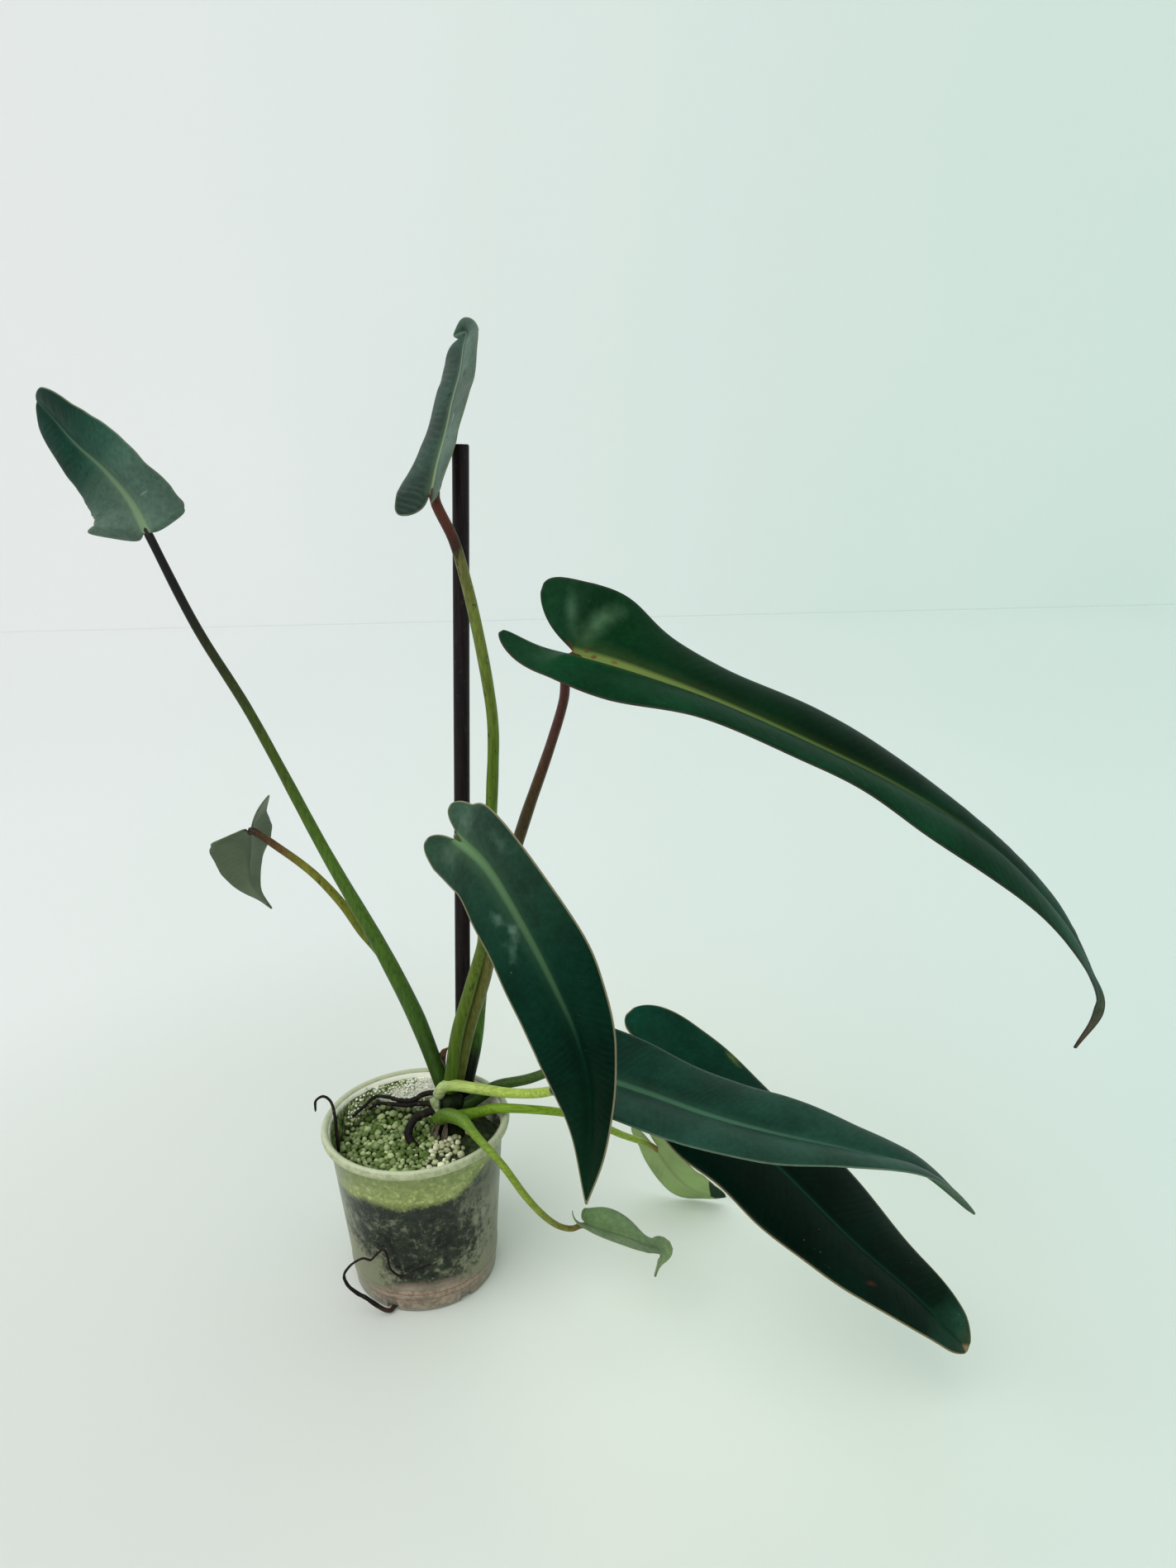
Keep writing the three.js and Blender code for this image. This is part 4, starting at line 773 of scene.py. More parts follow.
# Stalks run from the crown of the stem to the underside of their leaf.
# Tones are shares of the way up, with the colour there.
BLACK_GREEN = (0.006, 0.008, 0.004)
STALKS = [
    dict(name="left_tall",
         points=((12, 19, 86), (7, 22, 101), (-1, 27, 123), (-16.4, 34, 156), (-41.1, 42, 204),
                 (-74.2, 51, 275), (-95.5, 56, 314), (-113, 60, 356)),
         radii=(4, 4.2, 3.4, 2.7, 2.4, 2.2, 2), slot="stalk_green", spots=0.3,
         tones=((0.0, (0.02, 0.05, 0.006)), (0.12, (0.035, 0.085, 0.008)), (0.4, (0.06, 0.125, 0.012)),
                (0.62, (0.045, 0.075, 0.008)), (0.76, (0.02, 0.026, 0.005)), (0.88, (0.005, 0.005, 0.004)),
                (1.0, (0.003, 0.003, 0.003)))),
    dict(name="top_middle",
         points=((22, 20, 88), (27.2, 24, 108), (31, 28, 135), (36.2, 28, 179), (42.5, 24, 242),
                 (44.4, 22, 271), (43.3, 18, 292), (40.2, 13, 318), (37, 8, 339), (33.2, 5, 356),
                 (26, 2, 373)),
         radii=(4, 3.4, 2.9, 2.7, 2.5, 2.2), slot="stalk_green", spots=0.8,
         tones=((0.0, (0.002, 0.003, 0.002)), (0.05, (0.003, 0.005, 0.002)), (0.1, (0.045, 0.12, 0.008)),
                (0.6, (0.085, 0.14, 0.01)), (0.8, (0.14, 0.17, 0.03)), (0.875, (0.12, 0.12, 0.03)),
                (0.9, (0.03, 0.012, 0.008)), (0.95, (0.08, 0.022, 0.012)), (1.0, (0.05, 0.012, 0.008)))),
    dict(name="right_long",
         points=((18, 16, 90), (26, 15, 122), (36, 7, 154), (45.2, -8, 195), (59.7, -32, 243),
                 (73.2, -56, 284), (78.6, -67.5, 303), (82, -79, 321)),
         radii=(3.4, 3.2, 3, 2.6, 2, 1.7), slot="stalk_olive", spots=0.35,
         tones=((0.0, (0.07, 0.09, 0.01)), (0.25, (0.12, 0.12, 0.028)), (0.5, (0.09, 0.075, 0.016)),
                (0.68, (0.06, 0.035, 0.012)), (0.85, (0.06, 0.016, 0.01)), (1.0, (0.06, 0.012, 0.008)))),
    dict(name="front_hanging",
         points=((15, 13, 90), (21, 11, 122), (30, 5, 152), (37, -2, 176), (40, -12, 200), (38, -26, 223),
                 (32, -34, 238)),
         radii=(3.4, 3.2, 2.8, 2.4, 2, 1.8), slot="stalk_green", spots=0.6,
         tones=((0.0, (0.05, 0.1, 0.008)), (0.4, (0.085, 0.13, 0.012)), (0.8, (0.07, 0.1, 0.015)),
                (1.0, (0.04, 0.06, 0.01)))),
    dict(name="right_upper",
         points=((9.5, 12, 88), (13, 11, 93.4), (19, 9, 95), (29, 6, 95), (48, -6, 99.4), (66, -22, 110),
                 (84, -41, 129)),
         radii=(3, 2.7, 2.4, 2.3, 2.1, 2), slot="stalk_yellow", spots=0.1,
         tones=((0.0, (0.33, 0.4, 0.2)), (0.1, (0.38, 0.48, 0.14)), (0.4, (0.39, 0.51, 0.09)),
                (1.0, (0.28, 0.4, 0.055)))),
    dict(name="right_lower",
         points=((19, 16, 78), (29, 16, 84), (38, 14, 91), (55, 8, 98.5), (79, 2, 111), (103, -5, 119),
                 (116, -8, 118)),
         radii=(3.4, 2.8, 2.4, 2.3, 2.1, 2), slot="stalk_green", spots=0.1,
         tones=((0.0, (0.02, 0.05, 0.008)), (0.25, (0.045, 0.09, 0.018)), (1.0, (0.05, 0.1, 0.02)))),
    dict(name="small_front",
         points=((9, 10, 76), (14, 5, 81), (23, -9, 87.5), (33.5, -32, 92.5), (44.5, -43, 86.5),
                 (55.5, -46, 70.5), (64, -44, 58), (70, -42, 52), (75, -40, 49.5), (79, -38, 50)),
         radii=(4, 3.4, 2.3, 1.75, 1.6, 1.45, 1.3), slot="stalk_yellow", spots=0.15,
         tones=((0.0, (0.08, 0.15, 0.02)), (0.3, (0.12, 0.22, 0.02)), (0.7, (0.2, 0.27, 0.03)),
                (0.88, (0.17, 0.17, 0.035)), (1.0, (0.1, 0.05, 0.02)))),
    dict(name="small_right",
         points=((16, 10, 77), (28, 6, 81.5), (39, 0, 87.5), (54, -2, 88), (76, 6, 79), (99, 20, 58),
                 (117, 36, 38)),
         radii=(3, 2.4, 2, 1.9, 1.7, 1.4), slot="stalk_yellow", spots=0.1,
         tones=((0.0, (0.1, 0.2, 0.015)), (0.3, (0.2, 0.34, 0.02)), (0.85, (0.25, 0.35, 0.04)),
                (1.0, (0.2, 0.1, 0.04)))),
    dict(name="small_left",
         points=((9, 27, 84), (-3, 36, 115), (-18.4, 43, 149), (-28.4, 47, 160.8), (-37.6, 50, 174.4),
                 (-51.6, 53, 190.2), (-67.3, 56, 202.4), (-81, 58, 211)),
         radii=(3, 2.8, 2.6, 2.3, 2, 1.8), slot="stalk_olive", spots=0.6,
         tones=((0.0, (0.03, 0.07, 0.008)), (0.35, (0.05, 0.1, 0.01)), (0.55, (0.13, 0.15, 0.014)),
                (0.8, (0.14, 0.14, 0.014)), (0.88, (0.1, 0.05, 0.015)), (1.0, (0.01, 0.005, 0.004)))),
]


def stalk_finish(stalk):
    """Satin stalk: colours change along it, with fine lengthwise streaks and dark flecks."""
    finish = Finish("stalk_" + stalk["name"])
    place = finish.place()
    share = finish.measured("share")
    broad = finish.mottle(place, 55, 3)
    shift = finish.times(finish.less(broad, 0.5), 0.1)
    colour = finish.ramp(finish.add(share, shift), stalk["tones"])
    lying = stalk["points"][-1][2] - stalk["points"][0][2] < LYING_RISE
    streak = finish.mottle(finish.place((60, 900, 900) if lying else (900, 900, 60)), 1, 3)
    colour = finish.shaded(colour, finish.fade(streak, 0.3, 0.7, 0.78, 1.25))
    flecks = finish.mottle(finish.place((130, 330, 330) if lying else (330, 330, 130)), 1, 4, 0.7)
    flecks = finish.times(finish.fade(flecks, 0.60, 0.66), stalk["spots"])
    colour = finish.mix(flecks, colour, BLACK_GREEN)
    finish.set(base_color=colour, roughness=0.4, specular_ior_level=0.18)
    finish.bump(streak, 0.0002, 0.4)
    return finish.material


def build_stalk(stalk, leaf):
    """A stalk that ends in the keel under its leaf."""
    forward, _, up = midrib_frame(leaf, 0)
    keel = leaf["rib_scale"] * STALK_UNDER_BLADE
    below = Vector(leaf["midrib"][0]) - up * keel
    points = stalk["points"][:-1] + (below - forward * 0.5, below + forward * 5 * keel)
    bm = tube_mesh(points, stalk["radii"], sides=18, rings=96, crinkle=0.05, grain=0.07, ending=5 * keel)
    piece = new_piece("petiole_" + stalk["name"], bm, [stalk_finish(stalk)])
    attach(piece, "root")
    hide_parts("stalk_" + stalk["name"])


# Aerial roots
ROOTS = [
    dict(name="back",
         points=((10, 18, 86), (1, 19.5, 84), (-4, 18.5, 81.5), (-11, 20, 80.5), (-17.5, 24, 80),
                 (-24, 25, 79.8), (-29, 18.5, 78.3), (-34.3, 13.6, 75), (-36.3, 14.2, 70)),
         radii=(1.5, 1.25, 0.95, 0.8, 0.55)),
    dict(name="middle",
         points=((8, 13, 82), (-2, 17.7, 80), (-7.5, 18, 79), (-16, 20.5, 78.3), (-22.5, 22, 77.7),
                 (-27.5, 20.5, 75)),
         radii=(1.3, 1.25, 1.05, 0.7)),
    dict(name="curved",
         points=((9, 11, 80), (3, 9, 80), (-2, 7, 78), (-5, 3, 73), (-3, 0, 70), (2, -3, 66), (5, -4, 61)),
         radii=(2.1, 2, 2, 1.8, 1.4)),
    dict(name="over_rim",
         points=((-37, -5, 62), (-38, -4, 75), (-38.8, -1, 86), (-41.5, 3.5, 91.7), (-45, 4.5, 93.5),
                 (-48.5, 4, 91.5), (-49, 3, 86)),
         radii=(0.9, 0.75, 0.6)),
    dict(name="outside",
         points=((-10.7, -30, 1.8), (-13, -35, 1.8), (-17.5, -37, 6), (-23, -37, 11), (-27.8, -36.5, 14),
                 (-31.2, -38, 20), (-32.2, -38, 25), (-29.6, -38, 29.5), (-26, -38.5, 33), (-22, -39, 35),
                 (-19, -39, 34), (-16, -39, 37), (-12.5, -39.3, 40), (-11, -39.3, 36), (-10, -39, 28.5),
                 (-5, -39, 24.5), (2, -39.5, 28.5), (9, -39, 31)),
         radii=(0.95, 1.1, 0.9, 0.6, 0.55, 0.55, 0.55, 0.5)),
]


def root_finish():
    """Dry near-black root, reddish brown where its skin has worn, above all by its foot on the floor."""
    finish = Finish("root_skin")
    place = finish.place()
    worn = finish.fade(finish.mottle(place, 160, 4, 0.6), 0.55, 0.75)
    low = finish.fade(finish.split(place)[2], 0.008, 0.004, 0, 0.8)
    worn = finish.larger(worn, low)
    colour = finish.mix(worn, (0.006, 0.004, 0.004), (0.06, 0.025, 0.018))
    dust = finish.fade(finish.mottle(place, 900, 2), 0.64, 0.75)
    colour = finish.mix(finish.times(dust, 0.3), colour, (0.2, 0.19, 0.15))
    finish.set(base_color=colour, roughness=0.7, specular_ior_level=0.2)
    finish.bump(finish.mottle(place, 700, 4), 0.0004, 0.7)
    return finish.material


def build_roots():
    finish = root_finish()
    for root in ROOTS:
        bm = tube_mesh(root["points"], root["radii"], sides=10, rings=110, crinkle=0.2, grain=0.45)
        piece = new_piece("aerial_root_" + root["name"], bm, [finish])
        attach(piece, "root")
        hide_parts("root_" + root["name"])


# Pot

def pot_radius(z):
    return POT_BASE_RADIUS + (POT_TOP_RADIUS - POT_BASE_RADIUS) / LIP_FOOT * z


def around_front(finish, place):
    """Turn round the pot in radians, nought at the front and growing to the right."""
    spot = finish.split(place)
    return finish.maths("ARCTAN2", spot[0], finish.times(spot[1], -1))


def haze_colour(finish, height, turn, cloud, fine):
    """Moss and haze on the middle of the wall, with pale runs on its right."""
    haze = finish.mix(finish.fade(cloud, 0.45, 0.6), (0.002, 0.006, 0.003), (0.03, 0.04, 0.022))
    haze = finish.mix(finish.fade(cloud, 0.54, 0.68), haze, (0.23, 0.24, 0.15))
    haze = finish.mix(finish.fade(fine, 0.54, 0.68, 0, 0.5), haze, (0.2, 0.21, 0.14))
    runs = finish.mottle(finish.place((420, 420, 45)), 1, 3, 0.6)
    runs = finish.times(finish.fade(runs, 0.54, 0.68, 0, 0.55), finish.fade(turn, 0.45, 1.0))
    haze = finish.mix(runs, haze, (0.3, 0.31, 0.23))
    return finish.mix(finish.fade(height, 50, 60, 0, 0.45), haze, (0.02, 0.035, 0.022))


def film_colour(finish, place, level, middling, fine):
    """Film of yellow-green algae, beaded by the grit behind the top of the wall."""
    film = finish.mix(finish.fade(level, 63, 75), (0.6, 0.68, 0.22), (0.36, 0.42, 0.15))
    film = finish.mix(finish.fade(middling, 0.42, 0.62, 0, 0.8), film, (0.2, 0.27, 0.06))
    film = finish.mix(finish.fade(finish.cells(place, 330), 0.2, 0.5, 0, 0.5), film, (0.14, 0.19, 0.04))
    return finish.mix(finish.fade(fine, 0.56, 0.68, 0, 0.3), film, (0.62, 0.68, 0.34))


def foot_colour(finish, height, middling):
    """Pinkish foot with its fine brown rings."""
    pink = finish.mix(finish.fade(middling, 0.38, 0.62), (0.22, 0.18, 0.13), (0.44, 0.35, 0.265))
    for line in RING_LINES:
        away = finish.maths("ABSOLUTE", finish.less(height, line))
        pink = finish.mix(finish.fade(away, 0.55, 0.2, 0, 0.6), pink, (0.22, 0.09, 0.055))
    return pink


def lip_colour(finish, height, middling):
    """Greenish lip with painted highlights along its top and bottom ridges."""
    lip = finish.mix(finish.fade(middling, 0.35, 0.65), (0.32, 0.36, 0.2), (0.5, 0.54, 0.33))
    # Painted highlights on the ridges at the top and foot of the lip.
    painted_ridge_highlight = finish.larger(finish.fade(height, POT_HEIGHT - 1.3, POT_HEIGHT - 0.4),
                          finish.fade(height, LIP_FOOT + 1.6, LIP_FOOT + 0.9))
    return finish.mix(finish.times(painted_ridge_highlight, 0.6), lip, (0.6, 0.64, 0.46))


def pot_finish():
    """Clouded clear plastic: greenish lip with painted highlights on its ridges, yellow-green film under it,
    mossy haze and a pinkish foot.
    """
    finish = Finish("clouded_plastic")
    place = finish.place()
    height = finish.height(place)
    turn = around_front(finish, place)
    broad = finish.mottle(place, 38, 4, 0.6)
    middling = finish.mottle(place, 300, 6, 0.75, 0.4)
    fine = finish.mottle(place, 800, 4, 0.75)

    # Cloud is darkest in front, and greyer to both sides and low on the left
    sides = finish.add(finish.fade(turn, -0.35, -1.1, 0, 0.15), finish.fade(turn, 0.4, 1.2, 0, 0.2))
    low_left = finish.times(finish.fade(height, 42, 22), finish.fade(turn, 0.1, -0.5, 0, 0.15))
    cloud = finish.add(finish.times(broad, 0.45), finish.times(middling, 0.55))
    cloud = finish.add(finish.add(cloud, sides), low_left)

    # Level is the height with an uneven edge, lower on the right
    wander = finish.add(finish.times(finish.less(broad, 0.5), 12), finish.times(finish.less(fine, 0.5), 5))
    level = finish.less(finish.add(height, wander), finish.fade(turn, 0.35, 1.1, 0, 9))

    haze = haze_colour(finish, height, turn, cloud, fine)
    film = film_colour(finish, place, level, middling, fine)
    colour = finish.mix(finish.fade(level, FILM_FOOT, FILM_FOOT + 4.5), haze, film)
    foot = finish.add(height, finish.times(finish.less(cloud, 0.5), 34))
    colour = finish.mix(finish.fade(foot, 21, 14), colour, foot_colour(finish, height, middling))
    colour = finish.mix(finish.fade(height, 2.2, 0.8), colour, (0.3, 0.3, 0.24))
    lip = lip_colour(finish, height, middling)
    colour = finish.mix(finish.fade(height, LIP_FOOT - 0.6, LIP_FOOT + 0.8), colour, lip)

    # Where the wall turns away it looks denser
    facing = finish.tree.nodes.new("ShaderNodeLayerWeight")
    facing.inputs["Blend"].default_value = 0.5
    edge = finish.fade(facing.outputs["Facing"], 0.72, 0.97, 0, 0.55)
    colour = finish.mix(edge, colour, (0.26, 0.285, 0.22))
    cover = finish.fade(cloud, 0.4, 0.62, 0.62, 0.85)
    cover = finish.larger(cover, finish.fade(level, FILM_FOOT, FILM_FOOT + 6, 0, 0.88))
    cover = finish.larger(cover, finish.fade(foot, 21, 14, 0, 0.85))
    cover = finish.larger(cover, finish.fade(height, LIP_FOOT - 1, LIP_FOOT + 1, 0, 0.92))
    cover = finish.larger(cover, edge)
    finish.set(base_color=colour, roughness=0.32, alpha=cover, specular_ior_level=0.3)
    finish.bump(fine, 0.00015, 0.3)
    return finish.material


def inner_wall_finish():
    """Inside of the wall over the dressing: cream scale behind, green moss left, dark flecks right."""
    finish = Finish("scaled_inner_wall")
    place = finish.place()
    height = finish.height(place)
    turn = around_front(finish, place)
    fine = finish.mottle(place, 420, 4, 0.7)
    middling = finish.mottle(place, 120, 4, 0.65)
    cream = finish.mix(finish.fade(middling, 0.3, 0.5), (0.85, 0.87, 0.68), (0.98, 0.99, 0.86))
    moss = finish.mix(finish.fade(fine, 0.4, 0.62), (0.03, 0.07, 0.01), (0.3, 0.38, 0.16))
    dark = finish.mix(finish.fade(fine, 0.56, 0.64), (0.05, 0.07, 0.035), (0.5, 0.52, 0.38))
    left = finish.times(finish.fade(turn, -2.3, -1.9), finish.fade(turn, -0.4, -0.7))
    right = finish.times(finish.fade(turn, 0.6, 0.9), finish.fade(turn, 2.3, 2.0))
    top = finish.add(finish.times(middling, 8), height)
    colour = finish.mix(finish.times(left, finish.fade(top, 87.5, 83.5)), cream, moss)
    colour = finish.mix(finish.times(right, finish.fade(top, 82.5, 78.5)), colour, dark)
    speck = finish.fade(finish.mottle(place, 260, 4, 0.7), 0.6, 0.68)
    colour = finish.mix(finish.times(speck, 0.5), colour, (0.18, 0.24, 0.08))
    finish.set(base_color=colour, roughness=0.6, alpha=finish.fade(height, 62, 67), specular_ior_level=0.3)
    finish.bump(fine, 0.0003, 0.4)
    return finish.material


def cut_with(piece, cutters):
    """Takes the cutters' shapes out of a piece for good."""
    for cutter in cutters:
        hole = piece.modifiers.new("hole", "BOOLEAN")
        hole.object = cutter
        hole.solver = "EXACT"
    graph = bpy.context.evaluated_depsgraph_get()
    done = bpy.data.meshes.new_from_object(piece.evaluated_get(graph))
    piece.modifiers.clear()
    piece.data = done
    for cutter in cutters:
        bpy.data.objects.remove(cutter)


def build_pot():
    """The turned pot with its rings, lip and drain holes, and a finish of its own on the inner wall."""
    inside = pot_radius(POT_FLOOR) - POT_WALL
    foot = [(0, 0), (POT_BASE_RADIUS - 1.6, 0), (POT_BASE_RADIUS - 0.6, 0.3)]
    wall = [(pot_radius(z) + raised, z) for z, raised in (
        (1.0, 0), (8.3, 0), (9.0, 0.3), (9.6, 0.4), (10.2, 0.3), (10.9, 0),
        (12.9, 0), (13.5, 0.3), (14.0, 0.4), (14.6, 0.3), (15.2, 0))]
    lip = [
        (POT_TOP_RADIUS - 0.1, LIP_FOOT - 0.8), (POT_TOP_RADIUS + 0.6, LIP_FOOT - 0.1),
        (POT_RIM_RADIUS - 1.2, LIP_FOOT + 0.3), (POT_RIM_RADIUS - 0.3, LIP_FOOT + 1.1),
        (POT_RIM_RADIUS, LIP_FOOT + 2.3), (POT_RIM_RADIUS - 0.2, POT_HEIGHT - 1.2),
        (POT_RIM_RADIUS - 0.8, POT_HEIGHT - 0.3), (POT_RIM_RADIUS - 1.7, POT_HEIGHT),
        (POT_TOP_RADIUS + 1.2, POT_HEIGHT - 0.3), (POT_TOP_RADIUS, POT_HEIGHT - 1.3)]
    inner = [
        (POT_TOP_RADIUS - POT_WALL + 0.2, LIP_FOOT + 1), (pot_radius(LIP_FOOT) - POT_WALL, LIP_FOOT - 2),
        (inside, POT_FLOOR + 0.6), (inside - 0.8, POT_FLOOR), (0, POT_FLOOR)]
    outline = foot + wall + lip + inner
    piece = new_piece("clear_pot", turned_mesh(outline, 128), [pot_finish(), inner_wall_finish()])
    cutters = []
    for k in range(DRAIN_HOLE_COUNT):
        turn = math.radians(DRAIN_HOLE_START + 360 / DRAIN_HOLE_COUNT * k)
        reach = POT_BASE_RADIUS - 2
        bm = bmesh.new()
        spot = Matrix.Translation((reach * math.cos(turn) * MM, reach * math.sin(turn) * MM, 0))
        radius = DRAIN_HOLE_RADIUS * MM
        bmesh.ops.create_cone(bm, cap_ends=True, segments=24, radius1=radius, radius2=radius,
                              depth=2 * DRAIN_HOLE_HEIGHT * MM, matrix=spot)
        cutters.append(new_piece(f"drain_cutter_{k}", bm, [], smooth=False))
    cut_with(piece, cutters)
    for face in piece.data.polygons:
        inward = face.normal.x * face.center.x + face.normal.y * face.center.y < 0
        if inward and POT_FLOOR * MM < face.center.z < (LIP_FOOT + 3) * MM:
            face.material_index = 1
    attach(piece, "root")
    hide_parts("pot")


# Potting mix and its top

def mix_finish():
    """Damp dark bark and compost with moss, bark chips and pale flecks."""
    finish = Finish("damp_mix")
    place = finish.place()
    broad = finish.mottle(place, 50, 4, 0.6)
    fine = finish.mottle(place, 330, 5, 0.7)
    colour = finish.mix(finish.fade(broad, 0.4, 0.62), (0.006, 0.012, 0.008), (0.035, 0.05, 0.028))
    colour = finish.mix(finish.fade(fine, 0.52, 0.68), colour, (0.09, 0.105, 0.055))
    chips = finish.cells(place, 300)
    colour = finish.mix(finish.fade(chips, 0.16, 0.06, 0, 0.6), colour, (0.2, 0.2, 0.13))
    height = finish.height(place)
    low = finish.fade(finish.add(height, finish.times(broad, 14)), 28, 18)
    colour = finish.mix(finish.times(low, 0.8), colour, (0.16, 0.125, 0.09))
    finish.set(base_color=colour, roughness=0.85)
    finish.bump(fine, 0.0012, 0.8)
    return finish.material


def build_mix():
    """The mix as seen through the wall, faintly dented all round."""
    low = POT_FLOOR + CLEARANCE
    gap = POT_WALL + CLEARANCE
    outline = [(0, low), (pot_radius(low) - gap - 0.5, low), (pot_radius(low + 0.5) - gap, low + 0.5)]
    outline += [(pot_radius(z) - gap, z) for z in range(4, int(MIX_TOP), 2)]
    outline += [(pot_radius(MIX_TOP) - gap, MIX_TOP), (0, MIX_TOP)]
    bm = turned_mesh(outline, 120)
    for vert in bm.verts:
        reach = math.hypot(vert.co.x, vert.co.y)
        if reach > 0.02:
            dent = 0.5 * MM * abs(noise.noise(vert.co * 220))
            vert.co.x *= 1 - dent / reach
            vert.co.y *= 1 - dent / reach
    piece = new_piece("mix_body", bm, [mix_finish()])
    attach(piece, "root")
    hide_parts("potting_mix")


def dressing_height(x, y):
    """Height of the top dressing: banked up at the back, hollow around the stem."""
    by_the_wall = smooth_step(y - 0.36 * x, 18, 30) * smooth_step(math.hypot(x, y), 33, 39)
    bank = BANK_HEIGHT * max(smooth_step(y - 0.1 * x, 22, 39), by_the_wall)
    hollow = 2 * math.exp(-((x - 25) ** 2 + (y + 4) ** 2) / 160)
    return DRESSING_TOP + bank - hollow + 0.5 * math.sin(0.35 * x + 1) * math.cos(0.31 * y)


def crust_finish():
    """Between the grains: dark moss in front, partly painted shade in the gaps, and pale mineral crust with
    green moss on the bank.
    """
    finish = Finish("mossy_crust")
    place = finish.place()
    x, y, z = finish.split(place)
    fine = finish.mottle(place, 420, 5, 0.7)
    broad = finish.mottle(place, 95, 4, 0.65)
    # Dark moss in front, made darker as painted shade in the gaps between the grains.
    dark = finish.mix(finish.fade(fine, 0.4, 0.65), (0.015, 0.028, 0.006), (0.06, 0.1, 0.025))
    pale = finish.mix(finish.fade(fine, 0.3, 0.5), (0.95, 0.96, 0.8), (1.0, 1.0, 0.92))
    moss = finish.mix(finish.fade(fine, 0.42, 0.6), (0.04, 0.075, 0.012), (0.36, 0.43, 0.18))
    left = finish.add(finish.fade(x, 0.0, -0.02, -0.1, 0.06), finish.fade(x, -0.024, -0.03, 0, 0.2))
    by_the_wall = finish.times(finish.fade(y, 0.031, 0.036, 0, 0.12), finish.fade(x, 0.002, -0.006))
    growth = finish.add(finish.add(broad, left), by_the_wall)
    pale = finish.mix(finish.fade(growth, 0.5, 0.57), pale, moss)
    banked = finish.add(z, finish.times(finish.less(broad, 0.5), 0.006))
    colour = finish.mix(finish.fade(banked, 0.07, 0.0725), dark, pale)
    finish.set(base_color=colour, roughness=0.9)
    finish.bump(fine, 0.0008, 0.5)
    return finish.material


def build_crust():
    """The dressing under its loose grains: a lumpy top over a straight skirt down to the mix."""
    steps = 90
    gap = POT_WALL + CLEARANCE
    reach = pot_radius(MIX_TOP) - gap
    bm = bmesh.new()
    bmesh.ops.create_grid(bm, x_segments=steps, y_segments=steps, size=1)
    rim = [edge for edge in bm.edges if edge.is_boundary]
    for vert in bm.verts:
        u, v = vert.co.x, vert.co.y
        x = u * math.sqrt(1 - v * v / 2) * reach
        y = v * math.sqrt(1 - u * u / 2) * reach
        z = dressing_height(x, y) - 0.7
        spread = (pot_radius(z) - gap) / reach
        bank = smooth_step(z, 72, 75)
        lump = noise.noise(Vector((x, y, 0)) * 0.55) + 0.6 * noise.noise(Vector((x, y, 9)) * 1.3)
        edge = smooth_step(reach - math.hypot(x, y), 0, 3)
        vert.co = Vector((x * spread, y * spread, z + (0.5 + 0.7 * bank) * lump * edge)) * MM
    skirt = bmesh.ops.extrude_edge_only(bm, edges=rim)
    for part in skirt["geom"]:
        if isinstance(part, bmesh.types.BMVert):
            shrink = reach / (math.hypot(part.co.x, part.co.y) / MM)
            part.co.x *= shrink
            part.co.y *= shrink
            part.co.z = (MIX_TOP + CLEARANCE) * MM
    close_and_turn_out(bm)
    piece = new_piece("dressing_crust", bm, [crust_finish()])
    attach(piece, "root")
    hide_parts("top_dressing")


def grain_finish(name, dark, pale, moss, mossy, shade=0.25):
    """Rounded grit in its own pale tints, with green growing on it and painted shade on its underside."""
    finish = Finish(name)
    place = finish.place()
    fine = finish.mottle(place, 900, 3, 0.6)
    tint = finish.measured("tint")
    colour = finish.mix(finish.maths("POWER", tint, 1.5), dark, pale)
    green = finish.add(finish.mottle(place, 110, 1), finish.times(tint, -0.15))
    colour = finish.mix(finish.fade(green, 0.3, 0.52, 0.05, mossy), colour, moss)
    colour = finish.shaded(colour, finish.fade(fine, 0.3, 0.7, 0.85, 1.1))
    # Painted shade: each grain darker towards its underside, by the shade factor.
    underside = finish.fade(finish.measured("rise"), -0.35, 0.45, shade, 1)
    colour = finish.shaded(colour, underside)
    finish.set(base_color=colour, roughness=0.75, specular_ior_level=0.2)
    finish.bump(fine, 0.0003, 0.6)
    return finish.material


def lay_grains(wanted, chance, count, sizes, packed):
    """Places, sizes and turns of grains on the dressing where they are wanted, clear of their neighbours."""
    laid = {}
    grains = []
    for _ in range(count * 40):
        turn = 2 * math.pi * chance.random()
        reach = GRAIN_MIDDLES * math.sqrt(chance.random())
        x, y = reach * math.cos(turn), reach * math.sin(turn)
        size = sizes[0] + (sizes[1] - sizes[0]) * chance.random() ** 1.5
        if reach + size > GRAIN_LIMIT or not wanted(x, y):
            continue
        column, line = int(x // 4), int(y // 4)
        cells = [(a, b) for a in range(column - 1, column + 2) for b in range(line - 1, line + 2)]
        near = [grain for cell in cells for grain in laid.get(cell, ())]
        if any(math.hypot(a - x, b - y) < packed * (other + size) for a, b, other in near):
            continue
        laid.setdefault((column, line), []).append((x, y, size))
        spin = Matrix.Rotation(6.3 * chance.random(), 4, "Z") @ Matrix.Rotation(chance.random() - 0.5, 4, "X")
        flat, thin = 0.75 + 0.25 * chance.random(), 0.75 + 0.3 * chance.random()
        spot = Matrix.Translation((x, y, dressing_height(x, y) + size * 0.3))
        grains.append(spot @ spin @ Matrix.Diagonal((size, size * flat, size * thin, 1)))
        if len(grains) == count:
            break
    return grains


